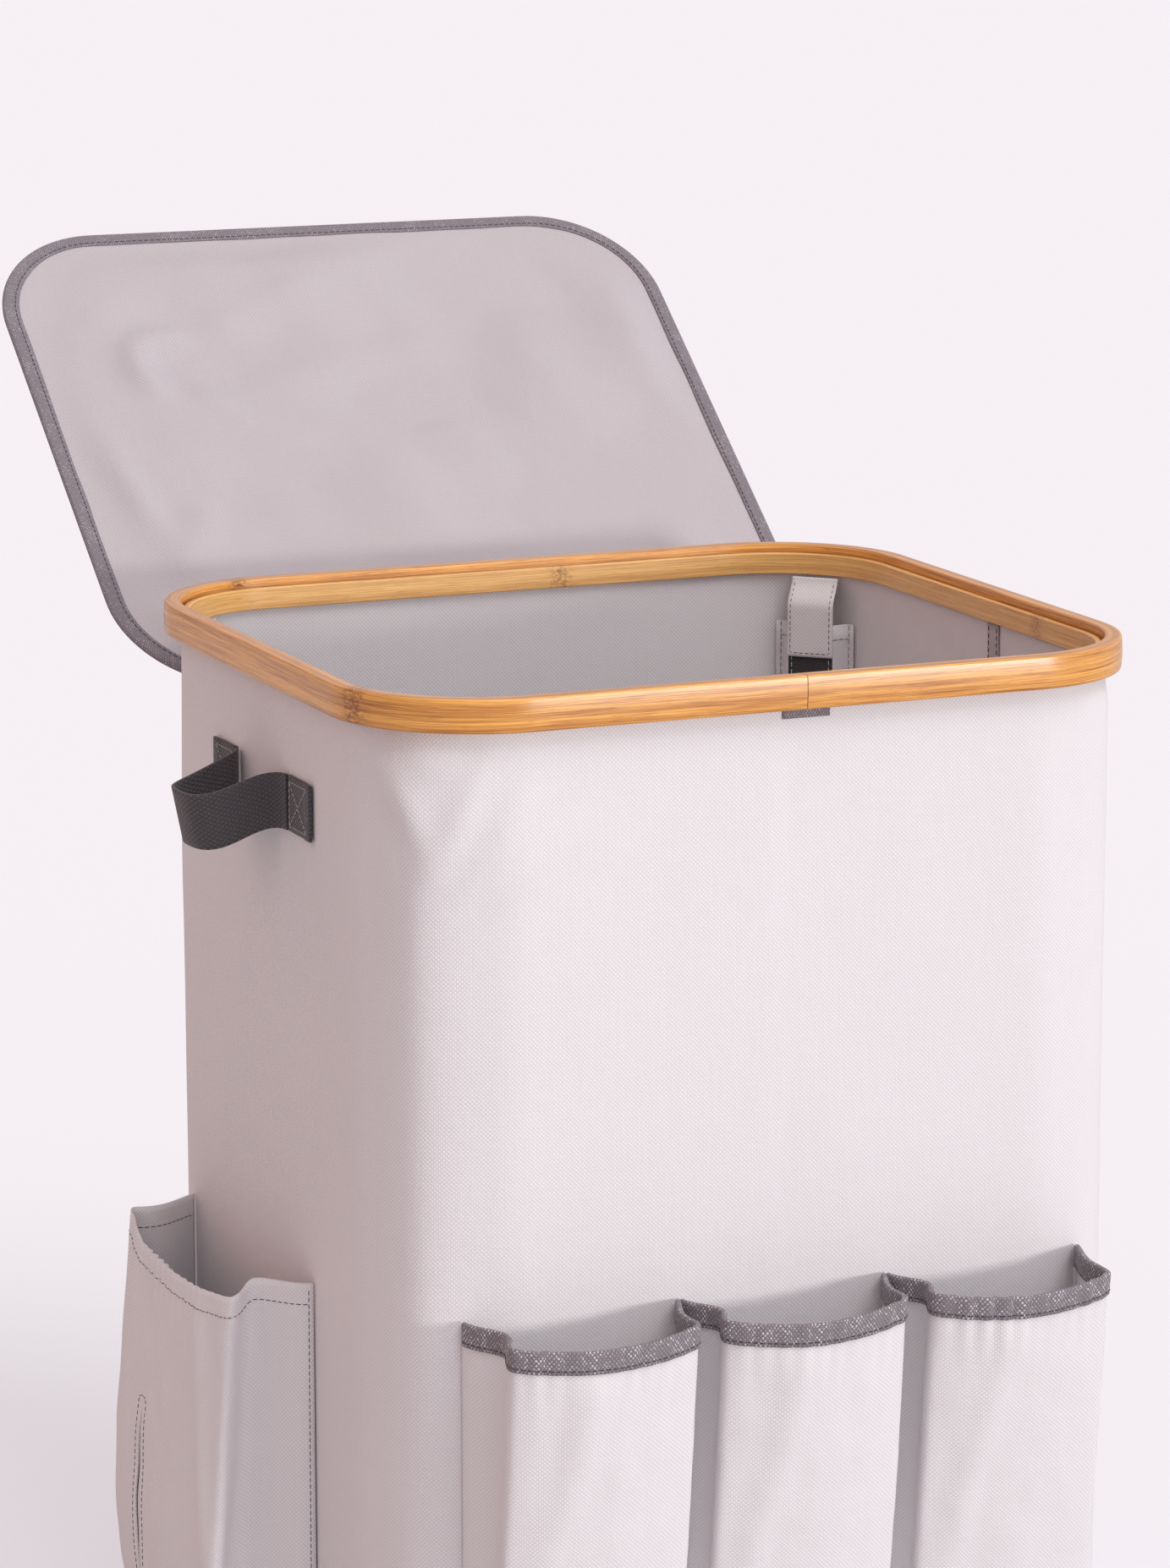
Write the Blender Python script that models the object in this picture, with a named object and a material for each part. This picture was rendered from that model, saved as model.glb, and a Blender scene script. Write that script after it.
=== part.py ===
"""Soft laundry hamper with a bamboo rim, outside pockets, webbing handles and a flap-hinged lid.

Metres, +Z up. The origin is the centre of the underside, the front faces -Y, and the lid is
modelled open, leaning back behind the rim. Every fabric layer is a plain closed solid.
"""

from math import atan2, cos, radians, sin, sqrt

import bmesh
import bpy
from mathutils import Vector

# Driving dimensions
HEIGHT = 0.650
RIM_WIDTH = 0.450
RIM_DEPTH = 0.404
RIM_RADIUS = 0.081
CORNER_STEPS = 8
GAP = 0.0003

# Bamboo rim
RIM_TALL = 0.018
RIM_THICK = 0.0095
RIM_EDGE = 0.0014
RIM_JOINT_X = 0.008
RIM_JOINT_GAP = 0.0004
LEDGE_DROP = 0.0046
INNER_RIM_THICK = 0.0036
INNER_RIM_TALL = 0.0124
INNER_RIM_EDGE = 0.0008
JOINT_TAPE = (0.027, 0.0005, 0.0055)

# Fabric body
FABRIC = 0.0010
WALL_TOP_DROP = 0.006
BASE_THICK = 0.0015
BOARD_THICK = 0.003
BOARD_INSET = 0.001
SEAM_TAPE_WIDTH = 0.013
SEAM_TAPE_Y = -0.014

# Corner poles, their sewn sleeves, and the tabs that close the sleeves
POLE_RADIUS = 0.005
POLE_TOP_DROP = 0.030
SLEEVE_THICK = 0.0008
SLEEVE_TOP_DROP = 0.045
SLEEVE_FRONT_HALF = 0.0135
SLEEVE_SIDE_HALF = 0.0185
SLEEVE_FLANGE_HALF = 0.024
HOOK_TAPE = (0.027, 0.0008, 0.028)
HOOK_TAPE_TOP_DROP = 0.050
TAB_WIDTH = 0.028
TAB_LENGTH = 0.046
TAB_THICK = 0.0010
TAB_BEND = 0.017
TAB_HINGE_RADIUS = 0.0650
TAB_HINGE_DROP = 0.0182

# Webbing handles
WEB_WIDTH = 0.030
WEB_THICK = 0.0016
HANDLE_DROP = 0.0795
HANDLE_Y = 0.002
HANDLE_HALF_SPAN = 0.041
HANDLE_BULGE = 0.045
HANDLE_DROOP = 0.012
HANDLE_CLEAR_SLOPE = 0.80
ANCHOR_LENGTH = 0.033
ANCHOR_THICK = 0.0032
LOOP_STEPS = 22

# Pockets
POCKET_FABRIC = 0.0010
POCKET_SEAM_X = 0.180
POCKET_COUNT = 3
POCKET_TOP = 0.322
POCKET_BOTTOM = 0.050
POCKET_DEPTH = 0.043
POCKET_BULGE = 0.012
POCKET_FOLD_INSET = 0.012
POCKET_TAPE = 0.012
TAPE_THICK = 0.0008
SIDE_POCKET_LOW_Y = -0.066
SIDE_POCKET_HIGH_Y = 0.124
SIDE_POCKET_TOP = 0.314
SIDE_POCKET_DIP = 0.010
SIDE_POCKET_DEPTH = 0.042
SIDE_POCKET_BULGE = 0.013
SLIT_Y = 0.050
SLIT_TOP = 0.219
SLIT_BOTTOM = 0.120
SLIT_WIDTH = 0.007
PANEL_STEPS = 12
GUSSET_STEPS = 3
POCKET_ROWS = 10

# Lid and the fabric flap that hinges it
LID_WIDTH = 0.429
LID_LENGTH = 0.370
LID_RADIUS = 0.072
LID_LEAN = 51.9
LID_BOARD = 0.0012
LID_COVER = 0.0004
LID_TAPE = 0.010
LID_TAPE_THICK = 0.0005
LID_SEAM_ROOM = 0.0022
HEM_RADIUS = 0.0007
HEM_STEPS = 8
FLAP_WIDTH = 0.285
FLAP_THICK = 0.0008
FLAP_HINGE = (0.2045, -0.0200)
FLAP_FOLD = (0.2045, -0.0435)
LID_HINGE = (0.2080, -0.0660)
LID_SWING = (0.2052, -0.0300)
FLAP_ROOM = 0.0007
FLAP_ANCHOR_TALL = 0.014

# Derived sizes
ARC_X = RIM_WIDTH / 2 - RIM_RADIUS
ARC_Y = RIM_DEPTH / 2 - RIM_RADIUS
RIM_INNER = RIM_RADIUS - RIM_THICK
WALL_OUTER = RIM_INNER - GAP
WALL_INNER = WALL_OUTER - FABRIC
FACE_X = ARC_X + WALL_OUTER
FACE_Y = ARC_Y + WALL_OUTER
INNER_RIM_OUTER = WALL_INNER - GAP
FLOOR_TOP = BASE_THICK + GAP + BOARD_THICK
FACET_SHRINK = cos(radians(45 / CORNER_STEPS))
POLE_CENTRE = WALL_INNER * FACET_SHRINK - GAP - POLE_RADIUS - 0.0002
SLEEVE_FRONT = POLE_CENTRE - POLE_RADIUS - GAP - SLEEVE_THICK / 2

SIDES = {"left": -1, "right": 1}
ENDS = {"front": -1, "back": 1}


def srgb(red, green, blue):
    """Linear colour of a display colour given in 0 to 255."""
    return [((c / 255 + 0.055) / 1.055) ** 2.4 for c in (red, green, blue)] + [1.0]


def material(name, colour, roughness):
    made = bpy.data.materials.new(name)
    made.use_nodes = True
    shader = made.node_tree.nodes["Principled BSDF"]
    shader.inputs["Base Color"].default_value = colour
    shader.inputs["Roughness"].default_value = roughness
    shader.inputs["Metallic"].default_value = 0.0
    made.diffuse_color = colour
    return made


def empty(name, location, rotation=(0, 0, 0)):
    made = bpy.data.objects.new(name, None)
    bpy.context.scene.collection.objects.link(made)
    made.location = location
    made.rotation_euler = rotation
    return made


def body(name, points, faces, finish, parent=None):
    """One object from points in its parent's frame, with every face turned outward."""
    mesh = bpy.data.meshes.new(name)
    mesh.from_pydata(points, [], faces)
    work = bmesh.new()
    work.from_mesh(mesh)
    bmesh.ops.recalc_face_normals(work, faces=work.faces)
    work.to_mesh(mesh)
    work.free()
    mesh.materials.append(finish)
    mesh.shade_smooth()
    mesh.set_sharp_from_angle(angle=radians(35))
    made = bpy.data.objects.new(name, mesh)
    bpy.context.scene.collection.objects.link(made)
    made.parent = parent
    return made


def loft(name, sections, finish, closed=False, parent=None):
    """A body through equal closed sections: a ring if closed, otherwise with an end cap at each end."""
    size = len(sections[0])
    points = [point for section in sections for point in section]
    spans = len(sections) if closed else len(sections) - 1
    faces = []
    for span in range(spans):
        near = span * size
        far = (span + 1) % len(sections) * size
        for side in range(size):
            following = (side + 1) % size
            faces.append((near + side, near + following, far + following, far + side))
    if not closed:
        last = (len(sections) - 1) * size
        faces.append(tuple(range(size)))
        faces.append(tuple(range(last, last + size)))
    return body(name, points, faces, finish, parent)


def sheet(name, front, back, finish, parent=None, missing=()):
    """A body between two equal grids of points. Cells listed in missing are left open, right through."""
    rows, columns = len(front), len(front[0])
    points = [point for grid in (front, back) for row in grid for point in row]
    count = rows * columns

    def corner(row, column, side=0):
        return side * count + row * columns + column

    cells = {(r, c) for r in range(rows - 1) for c in range(columns - 1)} - set(missing)
    faces = []
    for r, c in sorted(cells):
        ring = [(r, c), (r, c + 1), (r + 1, c + 1), (r + 1, c)]
        faces.append(tuple(corner(*at) for at in ring))
        faces.append(tuple(corner(*at, 1) for at in reversed(ring)))
        beside = [(r - 1, c), (r, c + 1), (r + 1, c), (r, c - 1)]
        for edge, neighbour in enumerate(beside):
            if neighbour not in cells:
                a, b = ring[edge], ring[(edge + 1) % 4]
                faces.append((corner(*b), corner(*a), corner(*a, 1), corner(*b, 1)))
    return body(name, points, faces, finish, parent)


def block(name, low, high, finish, parent=None):
    """A rectangular strip between two opposite corners."""
    section = [(low[1], low[2]), (high[1], low[2]), (high[1], high[2]), (low[1], high[2])]
    sections = [[(x, y, z) for y, z in section] for x in (low[0], high[0])]
    return loft(name, sections, finish, parent=parent)


def outline(radius, half_x=ARC_X, half_y=ARC_Y):
    """A rounded rectangle's arc points, anticlockwise from the front side's right-hand end."""
    points = []
    for turn, (side_x, side_y) in enumerate(((1, -1), (1, 1), (-1, 1), (-1, -1))):
        for step in range(CORNER_STEPS + 1):
            angle = radians(-90 + 90 * turn + 90 * step / CORNER_STEPS)
            points.append(
                (side_x * half_x + radius * cos(angle), side_y * half_y + radius * sin(angle))
            )
    return points


def around(profile, half_x=ARC_X, half_y=ARC_Y):
    """Sections of a profile of (radius, z) points carried round the rounded rectangle."""
    rings = [[(x, y, z) for x, y in outline(r, half_x, half_y)] for r, z in profile]
    return [list(section) for section in zip(*rings)]


def rounded_bar(inner, outer, low, high, edge):
    """A rectangular profile of (radius, z) points with rounded edges."""
    corners = (
        (outer - edge, low + edge, -90),
        (outer - edge, high - edge, 0),
        (inner + edge, high - edge, 90),
        (inner + edge, low + edge, 180),
    )
    return [
        (r + edge * cos(radians(start + step)), z + edge * sin(radians(start + step)))
        for r, z, start in corners
        for step in (0, 45, 90)
    ]


def plate(name, radius, low, high, finish, half_x=ARC_X, half_y=ARC_Y, parent=None):
    """A flat rounded rectangle between two heights."""
    levels = [[(x, y, z) for x, y in outline(radius, half_x, half_y)] for z in (low, high)]
    return loft(name, levels, finish, parent=parent)


def offset_path(path, distance):
    """A plan path of (x, y) points moved sideways, square to its own direction."""
    moved = []
    for index, (x, y) in enumerate(path):
        before = path[max(index - 1, 0)]
        after = path[min(index + 1, len(path) - 1)]
        along = Vector((after[0] - before[0], after[1] - before[1])).normalized()
        moved.append((x - along.y * distance, y + along.x * distance))
    return moved


def make_rim(bamboo, dark_tape):
    top = HEIGHT
    profile = rounded_bar(RIM_INNER, RIM_RADIUS, top - RIM_TALL, top, RIM_EDGE)
    sections = around(profile)
    half_gap = RIM_JOINT_GAP / 2
    first = [(RIM_JOINT_X + half_gap, y, z) for x, y, z in sections[0]]
    last = [(RIM_JOINT_X - half_gap, y, z) for x, y, z in sections[-1]]
    loft("outer_rim", [first, *sections, last], bamboo)

    ledge = top - LEDGE_DROP
    inner = INNER_RIM_OUTER - INNER_RIM_THICK
    profile = rounded_bar(inner, INNER_RIM_OUTER, ledge - INNER_RIM_TALL, ledge, INNER_RIM_EDGE)
    loft("inner_rim", around(profile), bamboo, closed=True)

    wide, thick, tall = JOINT_TAPE
    left = RIM_JOINT_X - 0.010
    z_high = top - RIM_TALL - GAP
    front = -FACE_Y - GAP
    block("rim_joint_tape", (left, front - thick, z_high - tall), (left + wide, front, z_high), dark_tape)


def make_body(fabric, board, tape):
    low = BASE_THICK + GAP
    high = HEIGHT - WALL_TOP_DROP
    profile = [(WALL_OUTER, low), (WALL_OUTER, high), (WALL_INNER, high), (WALL_INNER, low)]
    loft("body_wall", around(profile), fabric, closed=True)
    plate("base_panel", WALL_OUTER, 0.0, BASE_THICK, fabric)
    plate("base_board", WALL_INNER - BOARD_INSET, low, low + BOARD_THICK, board)

    x = ARC_X + WALL_INNER - GAP
    y = SEAM_TAPE_Y
    block(
        "side_seam_tape",
        (x - TAPE_THICK, y - SEAM_TAPE_WIDTH / 2, FLOOR_TOP + GAP),
        (x, y + SEAM_TAPE_WIDTH / 2, HEIGHT - LEDGE_DROP - INNER_RIM_TALL - GAP),
        tape,
    )


def sleeve_path():
    """Half-turn-symmetric plan path of a pole sleeve, as (across, out) points from the arc centre."""
    on_wall = WALL_INNER * FACET_SHRINK - GAP - SLEEVE_THICK / 2
    half = [
        (SLEEVE_FLANGE_HALF, sqrt(on_wall**2 - SLEEVE_FLANGE_HALF**2)),
        (SLEEVE_SIDE_HALF, sqrt(on_wall**2 - SLEEVE_SIDE_HALF**2)),
        (SLEEVE_FRONT_HALF, SLEEVE_FRONT),
    ]
    return half + [(-across, out) for across, out in reversed(half)]


def tab_path():
    """Side view of a pole tab, as (inward, down) points from its hinge: it slopes off the rim, then hangs."""
    reach = TAB_HINGE_RADIUS - (
        SLEEVE_FRONT - SLEEVE_THICK / 2 - HOOK_TAPE[1] - 2 * GAP - TAB_THICK / 2
    )
    steps = 6
    slope = [
        (reach * (1 - cos(radians(180 * s / steps))) / 2, TAB_BEND * s / steps)
        for s in range(steps + 1)
    ]
    return slope + [(reach, TAB_LENGTH)]


def make_corner(name, side_x, side_y, fabric, pole_wood, hook_tape, tab_cloth):
    """A pole in its sewn sleeve, with the hook tape and the tab that closes the sleeve's mouth."""
    turn = atan2(side_y, side_x)
    centre = (side_x * ARC_X, side_y * ARC_Y, 0)
    corner = empty("corner_" + name, centre, (0, 0, turn))

    steps = 12
    foot = FLOOR_TOP + GAP
    rings = [
        [
            (
                POLE_CENTRE + POLE_RADIUS * cos(radians(360 * s / steps)),
                POLE_RADIUS * sin(radians(360 * s / steps)),
                z,
            )
            for s in range(steps)
        ]
        for z in (foot, HEIGHT - POLE_TOP_DROP)
    ]
    loft("pole_" + name, rings, pole_wood, parent=corner)

    middle = sleeve_path()
    edges = offset_path(middle, SLEEVE_THICK / 2) + offset_path(middle, -SLEEVE_THICK / 2)[::-1]
    levels = (foot, HEIGHT - SLEEVE_TOP_DROP)
    rings = [[(out, across, z) for across, out in edges] for z in levels]
    loft("pole_sleeve_" + name, rings, fabric, parent=corner)

    wide, thick, tall = HOOK_TAPE
    face = SLEEVE_FRONT - SLEEVE_THICK / 2 - GAP
    top = HEIGHT - HOOK_TAPE_TOP_DROP
    block(
        "hook_tape_" + name,
        (face - thick, -wide / 2, top - tall),
        (face, wide / 2, top),
        hook_tape,
        parent=corner,
    )

    hinge = empty("tab_hinge_" + name, (TAB_HINGE_RADIUS, 0, HEIGHT - TAB_HINGE_DROP))
    hinge.parent = corner
    path = tab_path()
    edges = offset_path(path, TAB_THICK / 2) + offset_path(path, -TAB_THICK / 2)[::-1]
    sections = [[(-inward, y, -down) for inward, down in edges] for y in (-TAB_WIDTH / 2, TAB_WIDTH / 2)]
    loft("pole_tab_" + name, sections, tab_cloth, parent=hinge)


def loop_path():
    """The webbing loop's centreline, as (along the wall, out from the wall, down) points."""
    clear = ANCHOR_THICK / 2
    path = []
    for step in range(LOOP_STEPS + 1):
        share = 2 * step / LOOP_STEPS - 1
        rise = (1 - share * share) ** 0.75
        along = (HANDLE_HALF_SPAN - GAP - WEB_THICK / 2) * share
        path.append((along, clear + (HANDLE_BULGE - clear) * rise, HANDLE_DROOP * (1 - share * share)))
    return path


def make_handle(name, side, webbing):
    """Two sewn anchors on a side wall and the loop between them, which hinges along the wall."""
    wall = side * (FACE_X + GAP)
    hinge = empty("handle_hinge_" + name, (wall, HANDLE_Y, HEIGHT - HANDLE_DROP))
    half = WEB_WIDTH / 2
    for end, direction in ENDS.items():
        near = direction * HANDLE_HALF_SPAN
        far = direction * (HANDLE_HALF_SPAN + ANCHOR_LENGTH)
        low = (min(0, side * ANCHOR_THICK), min(near, far), -half)
        high = (max(0, side * ANCHOR_THICK), max(near, far), half)
        block(f"handle_{name}_anchor_{end}", low, high, webbing, parent=hinge)

    path = loop_path()
    plan = [(along, out) for along, out, down in path]
    inner = offset_path(plan, -WEB_THICK / 2)
    outer = offset_path(plan, WEB_THICK / 2)
    sections = []
    for (along_in, out_in), (along_out, out_out), (_, out, down) in zip(inner, outer, path):
        reach = min(half, HANDLE_CLEAR_SLOPE * out)
        sections.append(
            [
                (side * out_in, along_in, -down - reach),
                (side * out_out, along_out, -down - reach),
                (side * out_out, along_out, -down + reach),
                (side * out_in, along_in, -down + reach),
            ]
        )
    loft(f"handle_{name}_loop", sections, webbing, parent=hinge)


def wall_recess(along, arc):
    """How far the wall's outside falls back from its flat face, where it turns into a corner."""
    beyond = max(abs(along) - arc, 0)
    return WALL_OUTER - sqrt(WALL_OUTER**2 - beyond**2)


def pocket_path(low, high, arc, depth, bulge, inset):
    """Plan path of a pocket from seam to seam, as (along, out) points: gusset, bowed front panel, gusset."""
    clear = 3 * GAP
    start = (low, clear - wall_recess(low, arc))
    end = (high, clear - wall_recess(high, arc))
    fold_low = (low + inset, clear + depth)
    fold_high = (high - inset, clear + depth)
    path = []
    for step in range(GUSSET_STEPS):
        share = step / GUSSET_STEPS
        path.append(tuple(a + (b - a) * share for a, b in zip(start, fold_low)))
    for step in range(PANEL_STEPS + 1):
        share = step / PANEL_STEPS
        along = fold_low[0] + (fold_high[0] - fold_low[0]) * share
        path.append((along, clear + depth + bulge * sin(radians(180 * share)) ** 0.8))
    for step in range(1, GUSSET_STEPS + 1):
        share = step / GUSSET_STEPS
        path.append(tuple(a + (b - a) * share for a, b in zip(fold_high, end)))
    return path


def front_fullness(share):
    """A front pocket's depth as a share of its mouth's, from 0 at the mouth to 1 at the bottom seam."""
    return (1 - share) ** 0.55


def side_fullness(share):
    """The side pocket swells below its mouth, then closes on its bottom seam."""
    return (1 + 0.55 * share) * (1 - share**3) ** 0.7


def pocket_grids(low, high, arc, top, dip, depth, bulge, inset, fullness, rows):
    """Outer and inner grids of a pocket's fabric, as (along, out, z) points, from mouth to bottom seam."""
    outer, inner = [], []
    for row in rows:
        share = (top - row) / (top - POCKET_BOTTOM)
        scale = fullness(share)
        path = pocket_path(low, high, arc, depth * scale, bulge * scale, inset * min(1, 2 * scale))
        sunk = dip * (1 - share)
        drops = [
            sunk * sin(radians(180 * min(max((along - low) / (high - low), 0), 1))) for along, _ in path
        ]
        half = POCKET_FABRIC / 2
        for grid, distance in ((outer, half), (inner, -half)):
            moved = offset_path(path, distance)
            grid.append([(a, o, row - drop) for (a, o), drop in zip(moved, drops)])
    return outer, inner


def on_front(point):
    along, out, z = point
    return (along, -FACE_Y - out, z)


def on_left(point):
    along, out, z = point
    return (-FACE_X - out, along, z)


def placed(grid, place):
    return [[place(point) for point in row] for row in grid]


def make_front_pocket(name, low, high, fabric, tape):
    """A pleated pocket on the front, with tape folded over the edge of its mouth."""
    fabric_top = POCKET_TOP - TAPE_THICK - GAP
    rows = [
        fabric_top - (fabric_top - POCKET_BOTTOM) * step / POCKET_ROWS for step in range(POCKET_ROWS + 1)
    ]
    outer, inner = pocket_grids(
        low, high, ARC_X, POCKET_TOP, 0.0, POCKET_DEPTH, POCKET_BULGE, POCKET_FOLD_INSET, front_fullness, rows
    )
    sheet("front_pocket_" + name, placed(outer, on_front), placed(inner, on_front), fabric)

    near = POCKET_FABRIC / 2 + GAP
    far = near + TAPE_THICK
    levels = [POCKET_TOP, POCKET_TOP - POCKET_TAPE]
    paths = []
    for level in levels:
        scale = front_fullness((POCKET_TOP - level) / (POCKET_TOP - POCKET_BOTTOM))
        path = pocket_path(
            low, high, ARC_X, POCKET_DEPTH * scale, POCKET_BULGE * scale, POCKET_FOLD_INSET
        )
        paths.append(path)
    high_path, low_path = paths
    under = POCKET_TOP - TAPE_THICK
    legs = [
        (low_path, far, levels[1]),
        (high_path, far, levels[0]),
        (high_path, -far, levels[0]),
        (low_path, -far, levels[1]),
        (low_path, -near, levels[1]),
        (high_path, -near, under),
        (high_path, near, under),
        (low_path, near, levels[1]),
    ]
    lines = [[(a, o, z) for a, o in offset_path(path, distance)] for path, distance, z in legs]
    stations = [[on_front(point) for point in section] for section in zip(*lines)]
    trimmed = stations[1:-1]
    loft("pocket_tape_" + name, trimmed, tape)


def make_side_pocket(fabric):
    """A box pocket on the left wall with a dispensing slit in its front panel."""
    top = SIDE_POCKET_TOP
    even = [top - (top - POCKET_BOTTOM) * step / POCKET_ROWS for step in range(POCKET_ROWS + 1)]
    kept = [z for z in even if min(abs(z - SLIT_TOP), abs(z - SLIT_BOTTOM)) > 0.012]
    rows = sorted([*kept, SLIT_TOP, SLIT_BOTTOM], reverse=True)
    low, high = SIDE_POCKET_LOW_Y, SIDE_POCKET_HIGH_Y
    outer, inner = pocket_grids(
        low, high, ARC_Y, top, SIDE_POCKET_DIP, SIDE_POCKET_DEPTH, SIDE_POCKET_BULGE,
        POCKET_FOLD_INSET, side_fullness, rows,
    )
    width = high - low - 2 * POCKET_FOLD_INSET
    column = GUSSET_STEPS + round((SLIT_Y - low - POCKET_FOLD_INSET) / width * PANEL_STEPS)
    slit = SLIT_WIDTH
    for grid in (outer, inner):
        for row in grid:
            along, out, z = row[column]
            beside = row[column + 1]
            share = slit / (beside[0] - along)
            narrow = tuple(a + (b - a) * share for a, b in zip((along, out, z), beside))
            row.insert(column + 1, narrow)
    open_cells = [(r, column) for r in range(rows.index(SLIT_TOP), rows.index(SLIT_BOTTOM))]
    sheet("side_pocket", placed(outer, on_left), placed(inner, on_left), fabric, missing=open_cells)


def hinge_line(name, place, tilt=0):
    """An empty on a joint's line across the back, at a (y, drop) point."""
    y, drop = place
    return empty(name, (0, y, HEIGHT + drop), (radians(tilt), 0, 0))


def make_lid(fabric, board, tape):
    """The lid in its own frame, where +Y runs up the lid and +Z out of its lining."""
    hinge = hinge_line("lid_hinge", LID_HINGE, 90 - LID_LEAN)
    middle = LID_SEAM_ROOM + LID_LENGTH / 2
    frame = empty("lid_middle", (0, middle, 0))
    frame.parent = hinge
    half_x = LID_WIDTH / 2 - LID_RADIUS
    half_y = LID_LENGTH / 2 - LID_RADIUS
    inside = LID_RADIUS - LID_TAPE_THICK - GAP
    board_half = LID_BOARD / 2
    cover_low = board_half + GAP
    cover_high = cover_low + LID_COVER
    place = {"half_x": half_x, "half_y": half_y, "parent": frame}
    plate("lid_board", inside, -board_half, board_half, board, **place)
    plate("lid_lining", inside, cover_low, cover_high, fabric, **place)
    plate("lid_cover", inside, -cover_high, -cover_low, fabric, **place)

    near = cover_high + GAP
    far = near + LID_TAPE_THICK
    edge = LID_RADIUS - LID_TAPE
    profile = [
        (edge, far),
        (LID_RADIUS, far),
        (LID_RADIUS, -far),
        (edge, -far),
        (edge, -near),
        (LID_RADIUS - LID_TAPE_THICK, -near),
        (LID_RADIUS - LID_TAPE_THICK, near),
        (edge, near),
    ]
    loft("lid_binding", around(profile, half_x, half_y), tape, closed=True, parent=frame)


def make_flap_hem(fabric):
    """The rolled hem along the lid's edge, which swings over the rim about its own line."""
    swing = hinge_line("lid_swing", LID_SWING)
    y, z = LID_HINGE[0] - LID_SWING[0], LID_HINGE[1] - LID_SWING[1]
    turns = [radians(360 * step / HEM_STEPS) for step in range(HEM_STEPS)]
    section = [(y + HEM_RADIUS * cos(turn), z + HEM_RADIUS * sin(turn)) for turn in turns]
    loft("lid_flap_hem", across_flap(section), fabric, parent=swing)


def across_flap(section):
    """A section of (y, z) points at each end of the flap's width."""
    return [[(x, y, z) for y, z in section] for x in (-FLAP_WIDTH / 2, FLAP_WIDTH / 2)]


def flap_strip(name, start, end, room_start, room_end, fabric):
    """One stretch of the lid's flap between two (y, drop) points, kept clear of what it meets."""
    hinge = hinge_line(f"{name}_hinge", start)
    run = Vector(end) - Vector(start)
    along = run.normalized()
    square = Vector((-along.y, along.x)) * FLAP_THICK / 2
    near, far = along * room_start, run - along * room_end
    section = [near + square, far + square, far - square, near - square]
    loft(name, across_flap(section), fabric, parent=hinge)


def make_flap(fabric):
    flap_strip("lid_flap_lower", FLAP_HINGE, FLAP_FOLD, FLAP_ROOM, GAP, fabric)
    flap_strip("lid_flap_upper", FLAP_FOLD, LID_HINGE, GAP, HEM_RADIUS + GAP, fabric)
    wall = FACE_Y + GAP
    top = HEIGHT - RIM_TALL - GAP
    lip = FLAP_HINGE[0] - FLAP_THICK
    section = [
        (wall, top),
        (lip, top),
        (lip, top - FLAP_THICK),
        (wall + FLAP_THICK, top - FLAP_THICK),
        (wall + FLAP_THICK, top - FLAP_ANCHOR_TALL),
        (wall, top - FLAP_ANCHOR_TALL),
    ]
    loft("lid_flap_anchor", across_flap(section), fabric)


def main():
    for old in list(bpy.data.objects):
        bpy.data.objects.remove(old, do_unlink=True)
    bamboo = material("bamboo", srgb(228, 186, 140), 0.35)
    fabric = material("fabric", srgb(222, 216, 218), 0.90)
    tape = material("grey_tape", srgb(144, 135, 140), 0.85)
    webbing = material("webbing", srgb(66, 62, 64), 0.80)
    hook_tape = material("hook_tape", srgb(48, 46, 50), 0.95)
    board = material("board", srgb(150, 140, 128), 0.80)

    make_rim(bamboo, webbing)
    make_body(fabric, board, tape)
    for side, side_x in SIDES.items():
        for end, side_y in ENDS.items():
            make_corner(f"{end}_{side}", side_x, side_y, fabric, bamboo, hook_tape, fabric)
        make_handle(side, side_x, webbing)

    step = 2 * POCKET_SEAM_X / POCKET_COUNT
    apart = 2 * GAP
    for index, name in enumerate(("left", "middle", "right")):
        low = -POCKET_SEAM_X + step * index + apart
        make_front_pocket(name, low, low + step - 2 * apart, fabric, tape)
    make_side_pocket(fabric)
    make_lid(fabric, board, tape)
    make_flap_hem(fabric)
    make_flap(fabric)


main()
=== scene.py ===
"""Looks of the laundry hamper: its fabric, tapes, stitching and bamboo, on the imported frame.

Metres, +Z up, in the frame of the CAD model. A sheet of fabric is a grid of points with its own
flat coordinates in metres, so that weave and stitches keep their real size.
"""

from math import atan2, cos, hypot, pi, radians, sin, sqrt

import bmesh
import bpy
import numpy as np
from mathutils import Matrix, Vector, noise


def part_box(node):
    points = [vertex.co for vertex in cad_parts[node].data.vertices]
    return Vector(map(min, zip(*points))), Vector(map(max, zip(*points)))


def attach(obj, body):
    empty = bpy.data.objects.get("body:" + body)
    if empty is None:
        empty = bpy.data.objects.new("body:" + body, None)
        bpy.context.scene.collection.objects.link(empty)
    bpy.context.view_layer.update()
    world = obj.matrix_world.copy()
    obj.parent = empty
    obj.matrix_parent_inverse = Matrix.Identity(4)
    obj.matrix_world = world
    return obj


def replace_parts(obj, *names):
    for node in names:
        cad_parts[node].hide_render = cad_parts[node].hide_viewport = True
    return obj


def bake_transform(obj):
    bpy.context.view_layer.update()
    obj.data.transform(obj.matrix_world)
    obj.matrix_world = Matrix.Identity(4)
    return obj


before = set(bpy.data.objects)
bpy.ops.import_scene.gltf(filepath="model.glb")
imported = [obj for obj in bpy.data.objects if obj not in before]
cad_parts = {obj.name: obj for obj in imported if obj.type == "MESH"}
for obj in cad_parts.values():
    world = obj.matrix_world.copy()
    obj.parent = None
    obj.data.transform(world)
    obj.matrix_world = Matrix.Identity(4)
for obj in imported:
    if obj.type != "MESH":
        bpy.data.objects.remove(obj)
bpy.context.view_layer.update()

NATURAL_BASE = 2.718281828

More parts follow.
